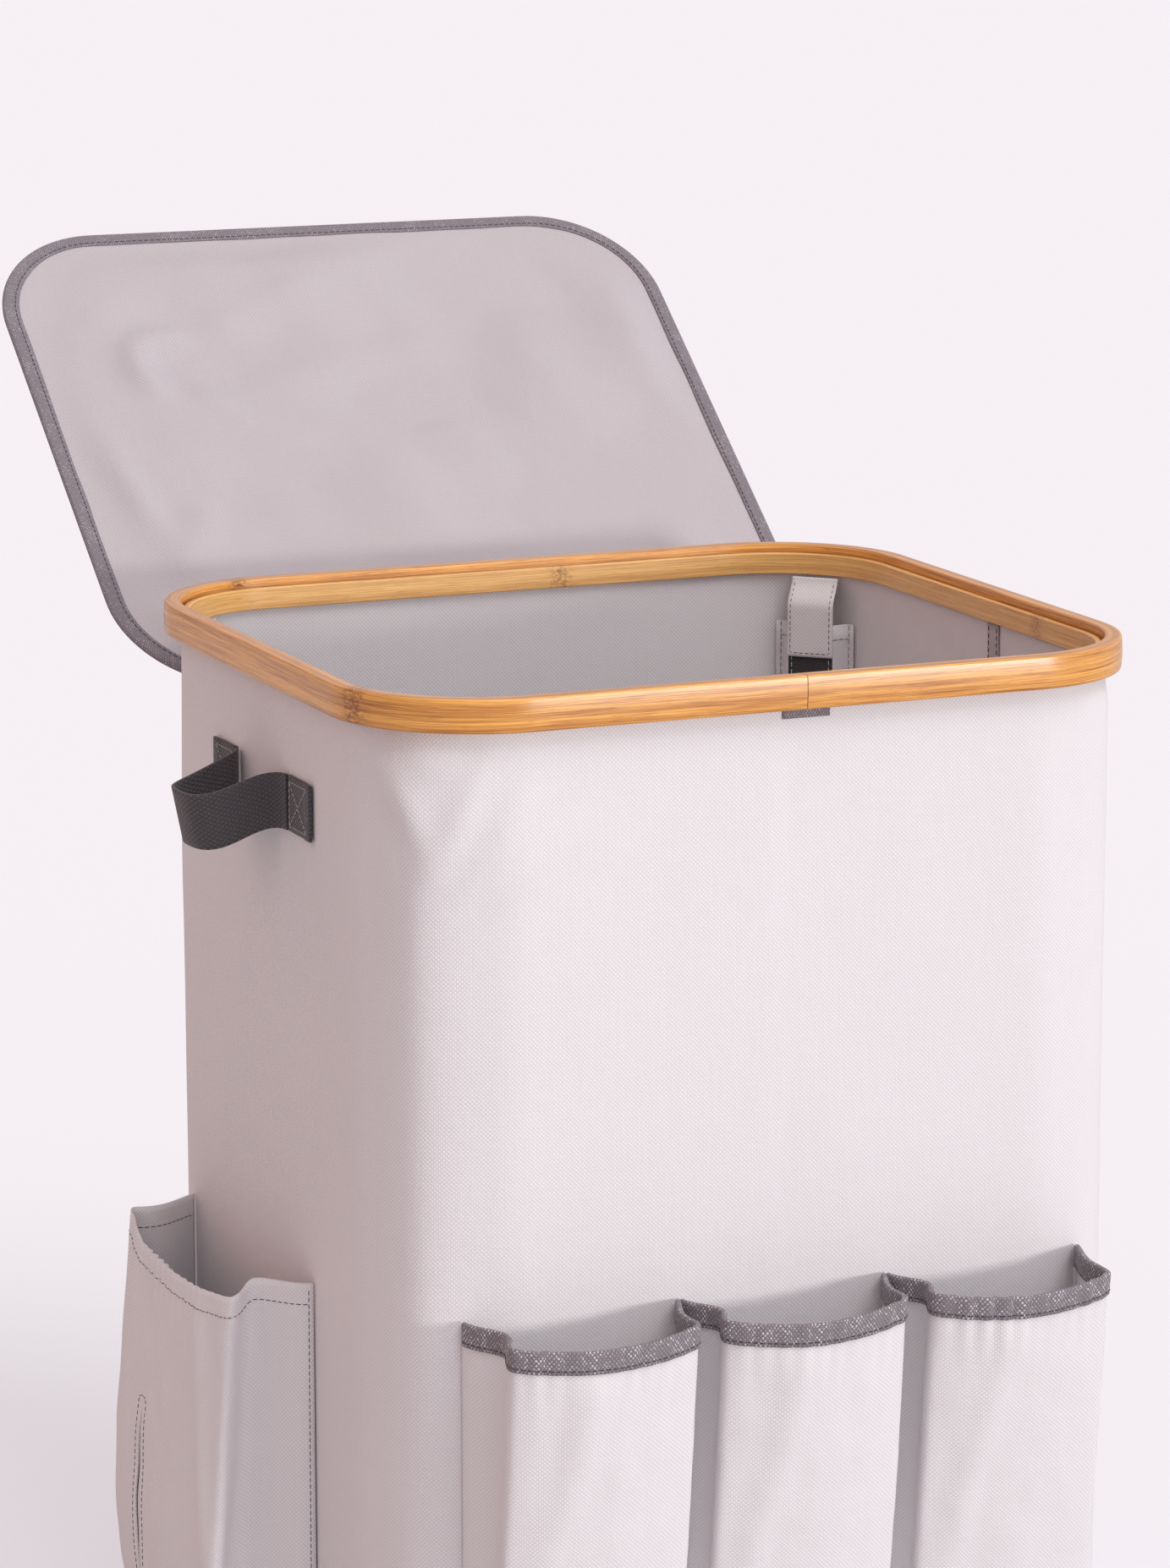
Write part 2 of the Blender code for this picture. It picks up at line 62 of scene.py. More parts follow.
# Sizes shared with the CAD model
HEIGHT = 0.650
ARC_X, ARC_Y = 0.144, 0.121
RIM_RADIUS, RIM_THICK, RIM_TALL = 0.081, 0.0095, 0.018
RIM_JOINT_X, RIM_JOINT_GAP = 0.008, 0.0004
LEDGE_DROP, INNER_RIM_TALL = 0.0046, 0.0124
INNER_RIM_OUTER, INNER_RIM_INNER = 0.0699, 0.0663
WALL_OUTER, FABRIC = 0.0712, 0.0010
WALL_MIDDLE = WALL_OUTER - FABRIC / 2
WALL_BOTTOM, WALL_TOP = 0.0018, 0.644
FACE_X, FACE_Y = ARC_X + WALL_OUTER, ARC_Y + WALL_OUTER
FLOOR_TOP = 0.0048
POLE_CENTRE, POLE_RADIUS, POLE_TOP = 0.06436, 0.005, 0.620
SLEEVE_FRONT, SLEEVE_TOP, SLEEVE_THICK = 0.05866, 0.605, 0.0008
TAB_WIDTH, TAB_LENGTH, TAB_THICK = 0.028, 0.046, 0.0010
TAB_HINGE_RADIUS, TAB_HINGE_DROP, TAB_BEND = 0.0650, 0.0182, 0.017
HOOK_TAPE_WIDTH, HOOK_TAPE_TALL, HOOK_TAPE_TOP = 0.027, 0.028, 0.600
HANDLE_Z, HANDLE_Y, HANDLE_HALF_SPAN = 0.5705, 0.002, 0.041
HANDLE_BULGE, HANDLE_DROOP = 0.045, 0.012
WEB_WIDTH, WEB_THICK, ANCHOR_LENGTH = 0.030, 0.0016, 0.033
POCKET_SEAM_X, POCKET_TOP, POCKET_BOTTOM = 0.180, 0.322, 0.050
POCKET_DEPTH, POCKET_BULGE, POCKET_TAPE = 0.043, 0.014, 0.012
SIDE_LOW, SIDE_HIGH, SIDE_TOP = -0.066, 0.124, 0.314
SLIT_TOP, SLIT_BOTTOM = 0.214, 0.118
LID_HINGE, LID_LEAN, LID_SEAM_ROOM = (0.2080, 0.5840), 51.9, 0.0022
LID_WIDTH, LID_LENGTH, LID_RADIUS, LID_TAPE = 0.429, 0.370, 0.072, 0.010
LID_BOARD = 0.0012
FLAP_WIDTH, FLAP_THICK, HEM_RADIUS = 0.285, 0.0008, 0.0007
FLAP_HINGE, FLAP_FOLD = (0.2045, 0.6300), (0.2045, 0.6065)

# Sizes of the visual pieces alone
TUCK = 0.0035  # how far below the CAD wall's top the cloth ends, for the groove between the hoops
CORNER_PEAK = 0.0048  # how far the corner poles stretch the cloth
CLEAR = 0.0003  # room between a sewn-on layer and the wall
STITCH_LIFT = 0.0006  # from the middle of 1 mm cloth to the thread on its face
HOOK_THICK, HOOK_PITCH, TAB_ROOM = 0.0008, 0.0013, 0.0006
THREAD_TWIST = 0.0011
POCKET_DIP, FRONT_INSET = 0.004, 0.007
SIDE_DEPTH, SIDE_BULGE, SIDE_DIP, SIDE_INSET = 0.042, 0.0035, 0.014, 0.012
SLIT_Y, SLIT_GAPE = 0.0602, 0.0016
BINDING_THICK = 0.0008
STRAP_LEAN = 0.20
WEB_ACROSS = [WEB_WIDTH * (0.5 - c / 12) for c in range(13)]

# Length, gap and thread radius of each kind of stitch
PLAIN_STITCH = (0.0030, 0.0011, 0.00032)
TAB_STITCH = (0.0024, 0.0010, 0.00026)
HANDLE_STITCH = (0.0022, 0.0010, 0.00026)
TAPE_STITCH = (0.0030, 0.0007, 0.00040)
SIDE_STITCH = (0.0027, 0.0010, 0.00027)
LID_STITCH = (0.0028, 0.0010, 0.00026)

SIDES = {"left": -1, "right": 1}
ENDS = {"front": -1, "back": 1}


# Materials


def srgb(red, green, blue):
    """Linear colour of a display colour given in 0 to 255."""
    return tuple(((c / 255 + 0.055) / 1.055) ** 2.4 for c in (red, green, blue)) + (1.0,)


def scaled(colour, factor):
    """A colour made darker or lighter."""
    return tuple(min(1.0, c * factor) for c in colour[:3]) + (1.0,)


class Shader:
    """The node tree of a material or world, written as one expression after another."""

    def __init__(self, owner, surface="Principled BSDF"):
        owner.use_nodes = True
        self.owner, self.tree = owner, owner.node_tree
        self.surface = self.tree.nodes[surface]

    def fill(self, socket, value):
        """Links an output to an input, or sets the input to a number or colour."""
        if isinstance(value, bpy.types.NodeSocket):
            self.tree.links.new(value, socket)
        else:
            socket.default_value = value

    def add(self, kind, values=(), **settings):
        """One node. values are its inputs, in order or by key: numbers, colours, outputs or None."""
        made = self.tree.nodes.new(kind)
        for name, value in settings.items():
            setattr(made, name, value)
        for key, value in values.items() if isinstance(values, dict) else enumerate(values):
            if value is not None:
                self.fill(made.inputs[key], value)
        return made

    def math(self, operation, *values, clamp=False):
        return self.add("ShaderNodeMath", values, operation=operation, use_clamp=clamp).outputs[0]

    def times(self, first, second):
        return self.math("MULTIPLY", first, second)

    def plus(self, first, second):
        return self.math("ADD", first, second)

    def uv(self):
        """The sheet's flat coordinates in metres: (along, across)."""
        split = self.add("ShaderNodeSeparateXYZ", [self.add("ShaderNodeUVMap", uv_map="flat").outputs[0]])
        return split.outputs[0], split.outputs[1]

    def vector(self, x, y, z=0.0):
        return self.add("ShaderNodeCombineXYZ", [x, y, z]).outputs[0]

    def noise(self, vector, scale=1.0, detail=2.0, roughness=0.5):
        values = {"Vector": vector, "Scale": scale, "Detail": detail, "Roughness": roughness}
        return self.add("ShaderNodeTexNoise", values).outputs["Fac"]

    def streaks(self, u, v, along, across, z=0.0, detail=2.0, roughness=0.5):
        """Noise with its own scale along and across the sheet."""
        stretched = self.vector(self.times(u, along), self.times(v, across), z)
        return self.noise(stretched, 1.0, detail, roughness)

    def mix(self, share, first, second):
        return self.add("ShaderNodeMix", {0: share, 6: first, 7: second}, data_type="RGBA").outputs[2]

    def ramp(self, share, low, high):
        """share carried from the range low to high onto 0 to 1."""
        values = [share, low, high, 0.0, 1.0]
        return self.add("ShaderNodeMapRange", values, interpolation_type="SMOOTHSTEP").outputs[0]

    def bump(self, height, distance, strength=1.0, under=None):
        values = {"Height": height, "Distance": distance, "Strength": strength, "Normal": under}
        return self.add("ShaderNodeBump", values).outputs[0]

    def finish(self, colour, normal=None, **inputs):
        inputs["Base_Color"] = colour
        if normal is not None:
            inputs["Normal"] = normal
        for name, value in inputs.items():
            self.fill(self.surface.inputs[name.replace("_", " ")], value)
        return self.owner


def material(name):
    """A new material's Shader, and its flat coordinates."""
    s = Shader(bpy.data.materials.new(name))
    return (s, *s.uv())


def woven(
    name, colour, shade, pitch, relief, painted_sheen=None, painted_sheen_share=0.0, wear=0.05, cross=None, sheen=0.12
):
    """Plain weave: raised crossings in a chequer, uneven threads, and faint patches of wear.

    pitch is one thread's width and cross the other thread's, shade the colour between threads, painted
    there as shade in the weave's hollows, relief the weave's height, and the colour after relief a paler
    thread colour that shows in patches on the raised crossings as a painted sheen.
    """
    s, u, v = material(name)
    sheet = s.vector(u, v)
    drift = s.times(s.math("SUBTRACT", s.noise(sheet, 60.0, 1.0), 0.5), 0.9)
    across = s.math("SINE", s.plus(s.times(u, pi / pitch), drift))
    along = s.math("SINE", s.plus(s.times(v, pi / (cross or pitch)), drift))
    crossing = s.times(across, along)
    ridges = s.plus(s.math("ABSOLUTE", across), s.math("ABSOLUTE", along))
    height = s.plus(s.times(crossing, 0.45), s.times(ridges, 0.30))
    fine, long = 0.9 / pitch, 0.05 / pitch
    slub = s.plus(s.streaks(u, v, fine, long), s.streaks(u, v, long, fine))
    # painted shade: darker where the weave sinks between threads
    tone = s.mix(s.ramp(height, -0.25, 0.75), shade, colour)
    tone = s.mix(s.ramp(slub, 0.70, 1.30), s.mix(0.10, tone, shade), tone)
    patches = s.ramp(s.noise(sheet, 14.0, 4.0, 0.6), 0.35, 0.75)
    worn = s.mix(0.5, tone, scaled(colour, 1 - wear))
    tone = s.mix(s.math("MULTIPLY", patches, wear * 6, clamp=True), tone, worn)
    # painted sheen: a paler colour shown in patches on the raised crossings
    if painted_sheen:
        speck = s.streaks(u, v, 0.35 / pitch, 0.6 / pitch, 0.0, 3.0, 0.7)
        chance = s.plus(s.times(speck, 0.75), s.times(s.noise(sheet, 90.0), 0.25))
        shown = s.ramp(chance, 0.62 - painted_sheen_share, 0.66 - painted_sheen_share)
        tone = s.mix(s.times(shown, s.ramp(crossing, -0.1, 0.5)), tone, painted_sheen)
    soft = s.bump(s.noise(sheet, 45.0, 3.0, 0.55), 0.0012, 0.35)
    normal = s.bump(s.plus(height, s.times(slub, 0.5)), relief, 0.75, soft)
    return s.finish(
        tone, normal, Roughness=0.86, Specular_IOR_Level=0.28, Sheen_Weight=sheen, Sheen_Roughness=0.45
    )


def bamboo_strips(name, light, dark, knuckles, along_offset=0.0):
    """Laminated bamboo: long fine strands, with darker knuckles at (distance, half width)."""
    s, u, v = material(name)
    u = s.plus(u, along_offset)
    strand = s.streaks(u, v, 20.0, 1800.0, 0.0, 3.0, 0.6)
    broad = s.streaks(u, v, 3.0, 260.0, 4.0)
    dash = s.streaks(u, v, 90.0, 2600.0, 9.0, 1.0)
    tone = s.mix(s.ramp(s.plus(s.times(strand, 0.6), s.times(broad, 0.4)), 0.30, 0.70), dark, light)
    tone = s.mix(s.times(s.ramp(dash, 0.60, 0.72), 0.45), tone, scaled(dark, 0.62))
    uneven = s.noise(s.vector(u, s.times(v, 6.0)), 120.0)
    wander = s.times(s.math("SUBTRACT", uneven, 0.5), 0.012)
    scar = 0.0
    for place, half in knuckles:
        gap = s.math("ABSOLUTE", s.plus(s.math("SUBTRACT", u, place + along_offset), wander))
        scar = s.math("MAXIMUM", scar, s.math("SUBTRACT", 1.0, s.ramp(gap, half * 0.1, half)))
    grain = s.ramp(s.streaks(u, v, 330.0, 520.0, 2.0, 3.0, 0.7), 0.35, 0.68)
    tone = s.mix(s.times(scar, grain), tone, s.mix(0.35, scaled(dark, 0.42), dark))
    normal = s.bump(s.plus(strand, s.times(dash, 0.5)), 0.00012, 0.5)
    rough = s.plus(0.26, s.times(strand, 0.16))
    return s.finish(
        tone, normal, Roughness=rough, Specular_IOR_Level=0.25, Coat_Weight=0.75, Coat_Roughness=0.30
    )


def spun(name, colour):
    """Sewing thread, with the slant of its twist."""
    s, u, v = material(name)
    slant = s.math("SINE", s.times(s.plus(u, s.times(v, 0.6)), 2 * pi / THREAD_TWIST))
    # painted shade: darker in the grooves of the twist, where its bump sinks
    tone = s.mix(s.ramp(slant, -1.0, 0.6), scaled(colour, 0.6), colour)
    return s.finish(tone, s.bump(slant, 0.00008, 0.6), Roughness=0.7, Sheen_Weight=0.1)


def brushed(name, colour):
    """Hook tape: a dense field of small dark hooks."""
    s, u, v = material(name)
    rows = s.math("ABSOLUTE", s.math("SINE", s.times(v, pi / HOOK_PITCH)))
    height = s.plus(s.noise(s.vector(u, v), 1400.0, 2.0, 0.7), s.times(rows, 0.5))
    # painted highlight: lighter where the hooks stand higher
    tone = s.mix(s.ramp(height, 0.55, 1.15), colour, scaled(colour, 2.6))
    return s.finish(tone, s.bump(height, 0.0006, 0.9), Roughness=0.75, Sheen_Weight=0.05)


def pressed_board(name, colour):
    """Fibreboard: a mottled face with fine specks."""
    s, u, v = material(name)
    mottle = s.noise(s.vector(u, v), 70.0, 4.0, 0.6)
    specks = s.noise(s.vector(u, v), 900.0, 2.0, 0.7)
    darker = scaled(colour, 0.72)
    tone = s.mix(s.ramp(mottle, 0.35, 0.70), colour, darker)
    tone = s.mix(s.times(s.ramp(specks, 0.62, 0.75), 0.5), tone, darker)
    return s.finish(tone, s.bump(specks, 0.0002, 0.4), Roughness=0.8)


WALL_CLOTH = woven("canvas", srgb(230, 226, 228), srgb(202, 196, 199), 0.00115, 0.00018)
# The canvas made darker: painted shade for the leaning lid's lining, standing in for the lesser light
# there; the seam tape inside the right wall is cut from it too
SHADE_PAINTED_CANVAS = woven("canvas_painted_shade", srgb(193, 185, 188), srgb(165, 156, 160), 0.00110, 0.00015, wear=0.08)
# The third colour of the two tapes below is painted sheen, shown in patches on their raised crossings
GREY_TAPE = woven(
    "grey_tape", srgb(140, 131, 137), srgb(96, 88, 94), 0.00085, 0.00028,
    srgb(180, 173, 178), 0.09, cross=0.0013,
)
POCKET_EDGE = woven(
    "pocket_edge", srgb(146, 138, 143), srgb(86, 79, 84), 0.00105, 0.00034,
    srgb(214, 208, 212), 0.10, cross=0.0014,
)
WEBBING = woven(
    "webbing", srgb(92, 89, 92), srgb(36, 33, 35), 0.00125, 0.00055, wear=0.15, cross=0.0020, sheen=0.25
)
OUTER_BAMBOO = bamboo_strips(
    "bamboo_outer", srgb(250, 184, 92), srgb(150, 78, 26), [(1.262, 0.012), (0.905, 0.010)]
)
INNER_BAMBOO = bamboo_strips(
    "bamboo_inner", srgb(250, 200, 124), srgb(200, 138, 70), [(0.306, 0.010), (0.716, 0.011)], 3.7
)
POLE_WOOD = bamboo_strips(
    "pole_wood", srgb(226, 196, 150), srgb(196, 158, 110), [(0.18, 0.006), (0.47, 0.006)], 1.3
)
DARK_THREAD = spun("thread_dark", srgb(84, 72, 80))
TAPE_THREAD = spun("thread_tape", srgb(70, 60, 68))
PALE_THREAD = spun("thread_pale", srgb(196, 190, 192))
CANVAS_THREAD = spun("thread_canvas", srgb(160, 146, 149))
HOOKS = brushed("hook_tape", srgb(40, 37, 40))
BOARD = pressed_board("board", srgb(150, 140, 128))


# Curves and noise


def lengths(path):
    """Distance along a path of points, from 0 at its start."""
    steps = np.linalg.norm(np.diff(np.asarray(path, float), axis=0), axis=1)
    return np.concatenate([[0.0], np.cumsum(steps)])


def resampled(path, count):
    """count points at even distances along a path."""
    path = np.asarray(path, float)
    reach = lengths(path)
    even = np.linspace(0.0, reach[-1], count)
    return np.stack([np.interp(even, reach, path[:, k]) for k in range(path.shape[1])], axis=1)


def eased(path, passes):
    """A path with its corners rounded and its ends kept."""
    path = np.array(path, float)
    for _ in range(passes):
        path[1:-1] = (path[:-2] + 2 * path[1:-1] + path[2:]) / 4
    return path


def ripple(x, y, seed, scale):
    """Smooth noise from -1 to 1 that changes over about 1/scale metres."""
    return noise.noise(Vector((x * scale, y * scale, seed)))


def smooth(value, low, high):
    """0 below low, 1 above high, and an S curve between."""
    share = min(max((value - low) / (high - low), 0.0), 1.0)
    return share * share * (3 - 2 * share)


def shares(steps):
    """Even steps from 0 up to 1, both included."""
    return [k / steps for k in range(steps + 1)]


def bell(value):
    """1 at 0, falling softly to 0 on both sides."""
    return NATURAL_BASE ** -(value * value)


def dents(x, y, ovals):
    """Height of soft ovals at a point, each (height, x, y, half width, half length, slant)."""
    total = 0.0
    for height, at_x, at_y, wide, tall, slant in ovals:
        dx, dy = x - at_x, y - at_y
        along, across = dx * cos(slant) + dy * sin(slant), dy * cos(slant) - dx * sin(slant)
        total += height * bell(hypot(along / wide, across / tall))
    return total


# Meshes


def placed(name, data):
    """A new object in the scene."""
    made = bpy.data.objects.new(name, data)
    bpy.context.scene.collection.objects.link(made)
    return made


def smooth_object(name, points, faces, flat, finish):
    """A smooth mesh. flat holds the flat coordinates of every face corner."""
    mesh = bpy.data.meshes.new(name)
    mesh.from_pydata(points, [], faces)
    mesh.uv_layers.new(name="flat").data.foreach_set("uv", np.asarray(flat, np.float32).ravel())
    mesh.materials.append(finish)
    mesh.shade_smooth()
    return placed(name, mesh)


def grid_object(name, points, flat, finish, wrap=False, missing=()):
    """A mesh from rows x columns of points. flat holds each point's coordinates in the uncut cloth.

    With wrap the last column joins the first, and flat has one column more than points.
    """
    points, flat = np.asarray(points, float), np.asarray(flat, float)
    rows, columns = points.shape[:2]
    faces, corners = [], []
    for r in range(rows - 1):
        for c in range(columns if wrap else columns - 1):
            if (r, c) in missing:
                continue
            first, after = r * columns, (c + 1) % columns
            faces.append((first + c, first + after, first + columns + after, first + columns + c))
            corners += [(r, c), (r, c + 1), (r + 1, c + 1), (r + 1, c)]
    picked = np.array(corners)
    flat = flat[picked[:, 0], picked[:, 1]]
    return smooth_object(name, points.reshape(-1, 3).tolist(), faces, flat, finish)


def thicken(obj, thickness):
    """Gives a sheet its thickness, half on each side."""
    made = obj.modifiers.new("thickness", "SOLIDIFY")
    made.thickness, made.offset, made.use_even_offset = thickness, 0.0, False
    return obj


def flat_of(points):
    """Flat coordinates of a grid: mean distance along its rows, and distance down its columns."""
    points = np.asarray(points, float)
    across = np.linalg.norm(np.diff(points, axis=1), axis=2).mean(axis=0)
    down = np.linalg.norm(np.diff(points, axis=0), axis=2).mean(axis=1)
    u = np.concatenate([[0.0], np.cumsum(across)])
    v = -np.concatenate([[0.0], np.cumsum(down)])
    return np.stack(np.meshgrid(u, v), axis=2)


def lattice(rows, columns, place):
    """A grid of points, place(down, across), where both are shares from 0 to 1."""
    return np.array([[place(down, across) for across in shares(columns - 1)] for down in shares(rows - 1)])


def cloth(name, grid, finish, thickness):
    """A thick sheet on a grid."""
    return thicken(grid_object(name, grid, flat_of(grid), finish), thickness)


def dress(piece, node, body="hamper"):
    """Puts a piece in a CAD node's place, hiding that node, and on a body."""
    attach(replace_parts(piece, node), body)


def joined(obj, caps=False):
    """Joins a grid's touching edges, closes its open ends if asked, and turns its faces outward."""
    work = bmesh.new()
    work.from_mesh(obj.data)
    bmesh.ops.remove_doubles(work, verts=work.verts, dist=1e-6)
    if caps:
        rim = [edge for edge in work.edges if edge.is_boundary]
        for cap in bmesh.ops.holes_fill(work, edges=rim)["faces"]:
            for edge in cap.edges:
                edge.smooth = False
    bmesh.ops.recalc_face_normals(work, faces=work.faces)
    work.to_mesh(obj.data)
    work.free()
    return obj


# Places on a grid, and stitches


def surface_point(grid, row, column):
    """Point and unit normal of a grid at a fractional row and column."""
    rows, columns = grid.shape[:2]
    r, c = min(max(row, 0), rows - 1.001), min(max(column, 0), columns - 1.001)
    i, j = int(r), int(c)
    p, q = r - i, c - j
    a, b, d, e = grid[i, j], grid[i, j + 1], grid[i + 1, j], grid[i + 1, j + 1]
    point = (a * (1 - q) + b * q) * (1 - p) + (d * (1 - q) + e * q) * p
    normal = np.cross((b - a) * (1 - p) + (e - d) * p, (d - a) * (1 - q) + (e - b) * q)
    return point, normal / max(np.linalg.norm(normal), 1e-12)


def row_at(flat, distance):
    """Fractional row that lies distance metres down a grid."""
    return float(np.interp(distance, -flat[:, 0, 1], range(len(flat))))


def column_at(flat, distance):
    """Fractional column that lies distance metres along a grid."""
    return float(np.interp(distance, flat[0, :, 0], range(flat.shape[1])))


def down(column, first, last):
    """Places down one column of a grid, row by row."""
    return [(r, column) for r in range(first, last)]


def along(row, first, last):
    """Places along one row of a grid, column by column."""
    return [(row, c) for c in range(first, last)]


def runs(corners, *counts):
    """Places on the straight runs from corner to corner, with the count of each run."""
    return np.concatenate([np.linspace(a, b, count) for a, b, count in zip(corners, corners[1:], counts)])


def grid_line(grid, places, lift, facing=None):
    """A line for stitches on a grid, raised by lift along its normal or along facing."""
    line = []
    for row, column in places:
        point, normal = surface_point(grid, row, column)
        up = normal if facing is None else facing
        line.append((point + up * lift, up))
    return line


def straight_line(start, end, facing):
    """A straight line for stitches."""
    return [(np.array(point, float), np.array(facing, float)) for point in (start, end)]


def stitches(name, lines, finish=DARK_THREAD, body="hamper", size=PLAIN_STITCH, lift=0.0):
    """Sewn stitches along lines of (point, normal) pairs, as one piece of short sunken threads."""
    length, gap, radius = size
    sides, rings = 6, ((0.0, 0.30, -0.6), (0.16, 0.9, 0.0), (0.84, 0.9, 0.0), (1.0, 0.30, -0.6))
    turns = [2 * pi * k / sides for k in range(sides)]
    points, faces, flats = [], [], []
    for line in lines:
        path, normals = (np.array(part) for part in zip(*line))
        reach = lengths(path)
        count = int(reach[-1] / (length + gap))
        pitch = reach[-1] / max(count, 1)

        def look(values, at):
            return np.array([np.interp(at, reach, values[:, k]) for k in range(3)])

        for index in range(count):
            start = len(points)
            for share, girth, sink in rings:
                at = index * pitch + gap / 2 + share * (pitch - gap)
                up = look(normals, at)
                side = np.cross(look(path, at + 1e-4) - look(path, at - 1e-4), up)
                side /= max(np.linalg.norm(side), 1e-12)
                up /= max(np.linalg.norm(up), 1e-12)
                centre = look(path, at) + up * (lift + sink * radius)
                for turn in turns:
                    points.append(centre + radius * girth * (side * cos(turn) + up * sin(turn)))
                    flats.append((at, turn * radius))
            for ring in range(len(rings) - 1):
                for k in range(sides):
                    a, b = start + ring * sides + k, start + ring * sides + (k + 1) % sides
                    faces.append((a, b, b + sides, a + sides))
            faces.append(tuple(start + k for k in reversed(range(sides))))
            faces.append(tuple(start + (len(rings) - 1) * sides + k for k in range(sides)))
    order = [corner for face in faces for corner in face]
    made = smooth_object(name, [tuple(p) for p in points], faces, np.array(flats)[order], finish)
    if body:
        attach(made, body)
    return made


# The rounded rectangle that rim, wall and base follow


def hoop(step, corner_steps, start_x=0.0):
    """Stations anticlockwise from the front: (core x, core y, outward x, outward y, distance)."""
    stations = []
    start = (start_x, -ARC_Y)
    ends = [start, (ARC_X, -ARC_Y), (ARC_X, ARC_Y), (-ARC_X, ARC_Y), (-ARC_X, -ARC_Y), start]
    outward = ((0, -1), (1, 0), (0, 1), (-1, 0), (0, -1))
    for index, ((ax, ay), (bx, by)) in enumerate(zip(ends, ends[1:])):
        count = max(2, round(hypot(bx - ax, by - ay) / step))
        for share in shares(count)[:-1]:
            stations.append((ax + (bx - ax) * share, ay + (by - ay) * share, *outward[index]))
        if index < 4:
            for k in range(corner_steps):
                turn = radians(90 * (index - 1) + 90 * k / corner_steps)
                stations.append((bx, by, cos(turn), sin(turn)))
    stations.append((*start, 0, -1))
    return measured(stations, WALL_MIDDLE)


def measured(stations, radius):
    """Stations with the distance along their outline at a corner radius added to each."""
    outline = [(cx + nx * radius, cy + ny * radius) for cx, cy, nx, ny in stations]
    return [(*station, reach) for station, reach in zip(stations, lengths(outline))]


def swept_hoop(name, profile, finish, start_x=0.0, split=0.0):
    """A hoop with a closed (radius, z) profile. split is the width of a butt joint at start_x."""
    stations = hoop(0.006, 30, start_x)
    profile = list(profile) + [profile[0]]
    if split:
        stations[0] = (stations[0][0] + split / 2, *stations[0][1:])
        stations[-1] = (stations[-1][0] - split / 2, *stations[-1][1:])
    grid = [[(cx + nx * r, cy + ny * r, z) for cx, cy, nx, ny, _ in stations] for r, z in profile]
    flat = [[(reach, around) for *_, reach in stations] for around in lengths(profile)]
    return joined(grid_object(name, grid, flat, finish), caps=bool(split))


def bevelled(inner, outer, low, high, edge, crown=0.0):
    """A rectangular (radius, z) profile with rounded edges, where its outer face falls back by crown."""
    corners = (
        (outer - edge, low + edge, -90), (outer - edge, high - edge, 0),
        (inner + edge, high - edge, 90), (inner + edge, low + edge, 180),
    )
    arcs, steps = [], 4
    for r, z, start in corners:
        turns = [radians(start + 90 * k / steps) for k in range(steps + 1)]
        arcs.append([(r + edge * cos(turn), z + edge * sin(turn)) for turn in turns])
    face = [(outer, low + edge + (high - low - 2 * edge) * k / 8) for k in range(1, 8)]
    middle, half = (low + high) / 2, (high - low) / 2
    round_face = [(r - crown * ((z - middle) / half) ** 2, z) for r, z in arcs[0] + face + arcs[1]]
    return round_face + arcs[2] + arcs[3]


def make_rim():
    profile = bevelled(RIM_RADIUS - RIM_THICK, RIM_RADIUS, HEIGHT - RIM_TALL, HEIGHT, 0.0011, 0.0006)
    outer = swept_hoop("rim_outer", profile, OUTER_BAMBOO, RIM_JOINT_X, RIM_JOINT_GAP)
    ledge = HEIGHT - LEDGE_DROP
    profile = bevelled(INNER_RIM_INNER, INNER_RIM_OUTER, ledge - INNER_RIM_TALL, ledge, 0.0008)
    inner = swept_hoop("rim_inner", profile, INNER_BAMBOO)
    for piece, node in ((outer, "outer_rim"), (inner, "inner_rim")):
        piece.modifiers.new("edges", "WEIGHTED_NORMAL").keep_sharp = True
        dress(piece, node)


def make_joint_tape():
    """The tape that shows under the outer hoop's joint."""
    low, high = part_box("rim_joint_tape")
    y = (low.y + high.y) / 2
    grid = lattice(7, 13, lambda down, across: (
        low.x + (high.x - low.x) * across, y, high.z + (low.z - high.z) * down
    ))
    dress(cloth("rim_joint_patch", grid, GREY_TAPE, 0.0005), "rim_joint_tape")


# Body wall and base


# Puckers under the rim at the front left corner, as dents() takes them
PUCKERS = (
    (0.0036, -0.201, 0.598, 0.006, 0.026, 0.30), (0.0036, -0.178, 0.586, 0.006, 0.032, -0.40),
    (0.0026, -0.160, 0.574, 0.006, 0.032, -0.65), (0.0018, -0.144, 0.560, 0.006, 0.032, -0.80),
)


def corner_peak(turn):
    """How far the cloth stands out where the corner pole stretches it, at turn radians from a flat face."""
    away = abs(turn - pi / 4)
    share = 1 - smooth(sqrt(away * away + 0.0036) - 0.06, -0.16, 0.46)
    return CORNER_PEAK * share / (1 - smooth(0.0, -0.16, 0.46))


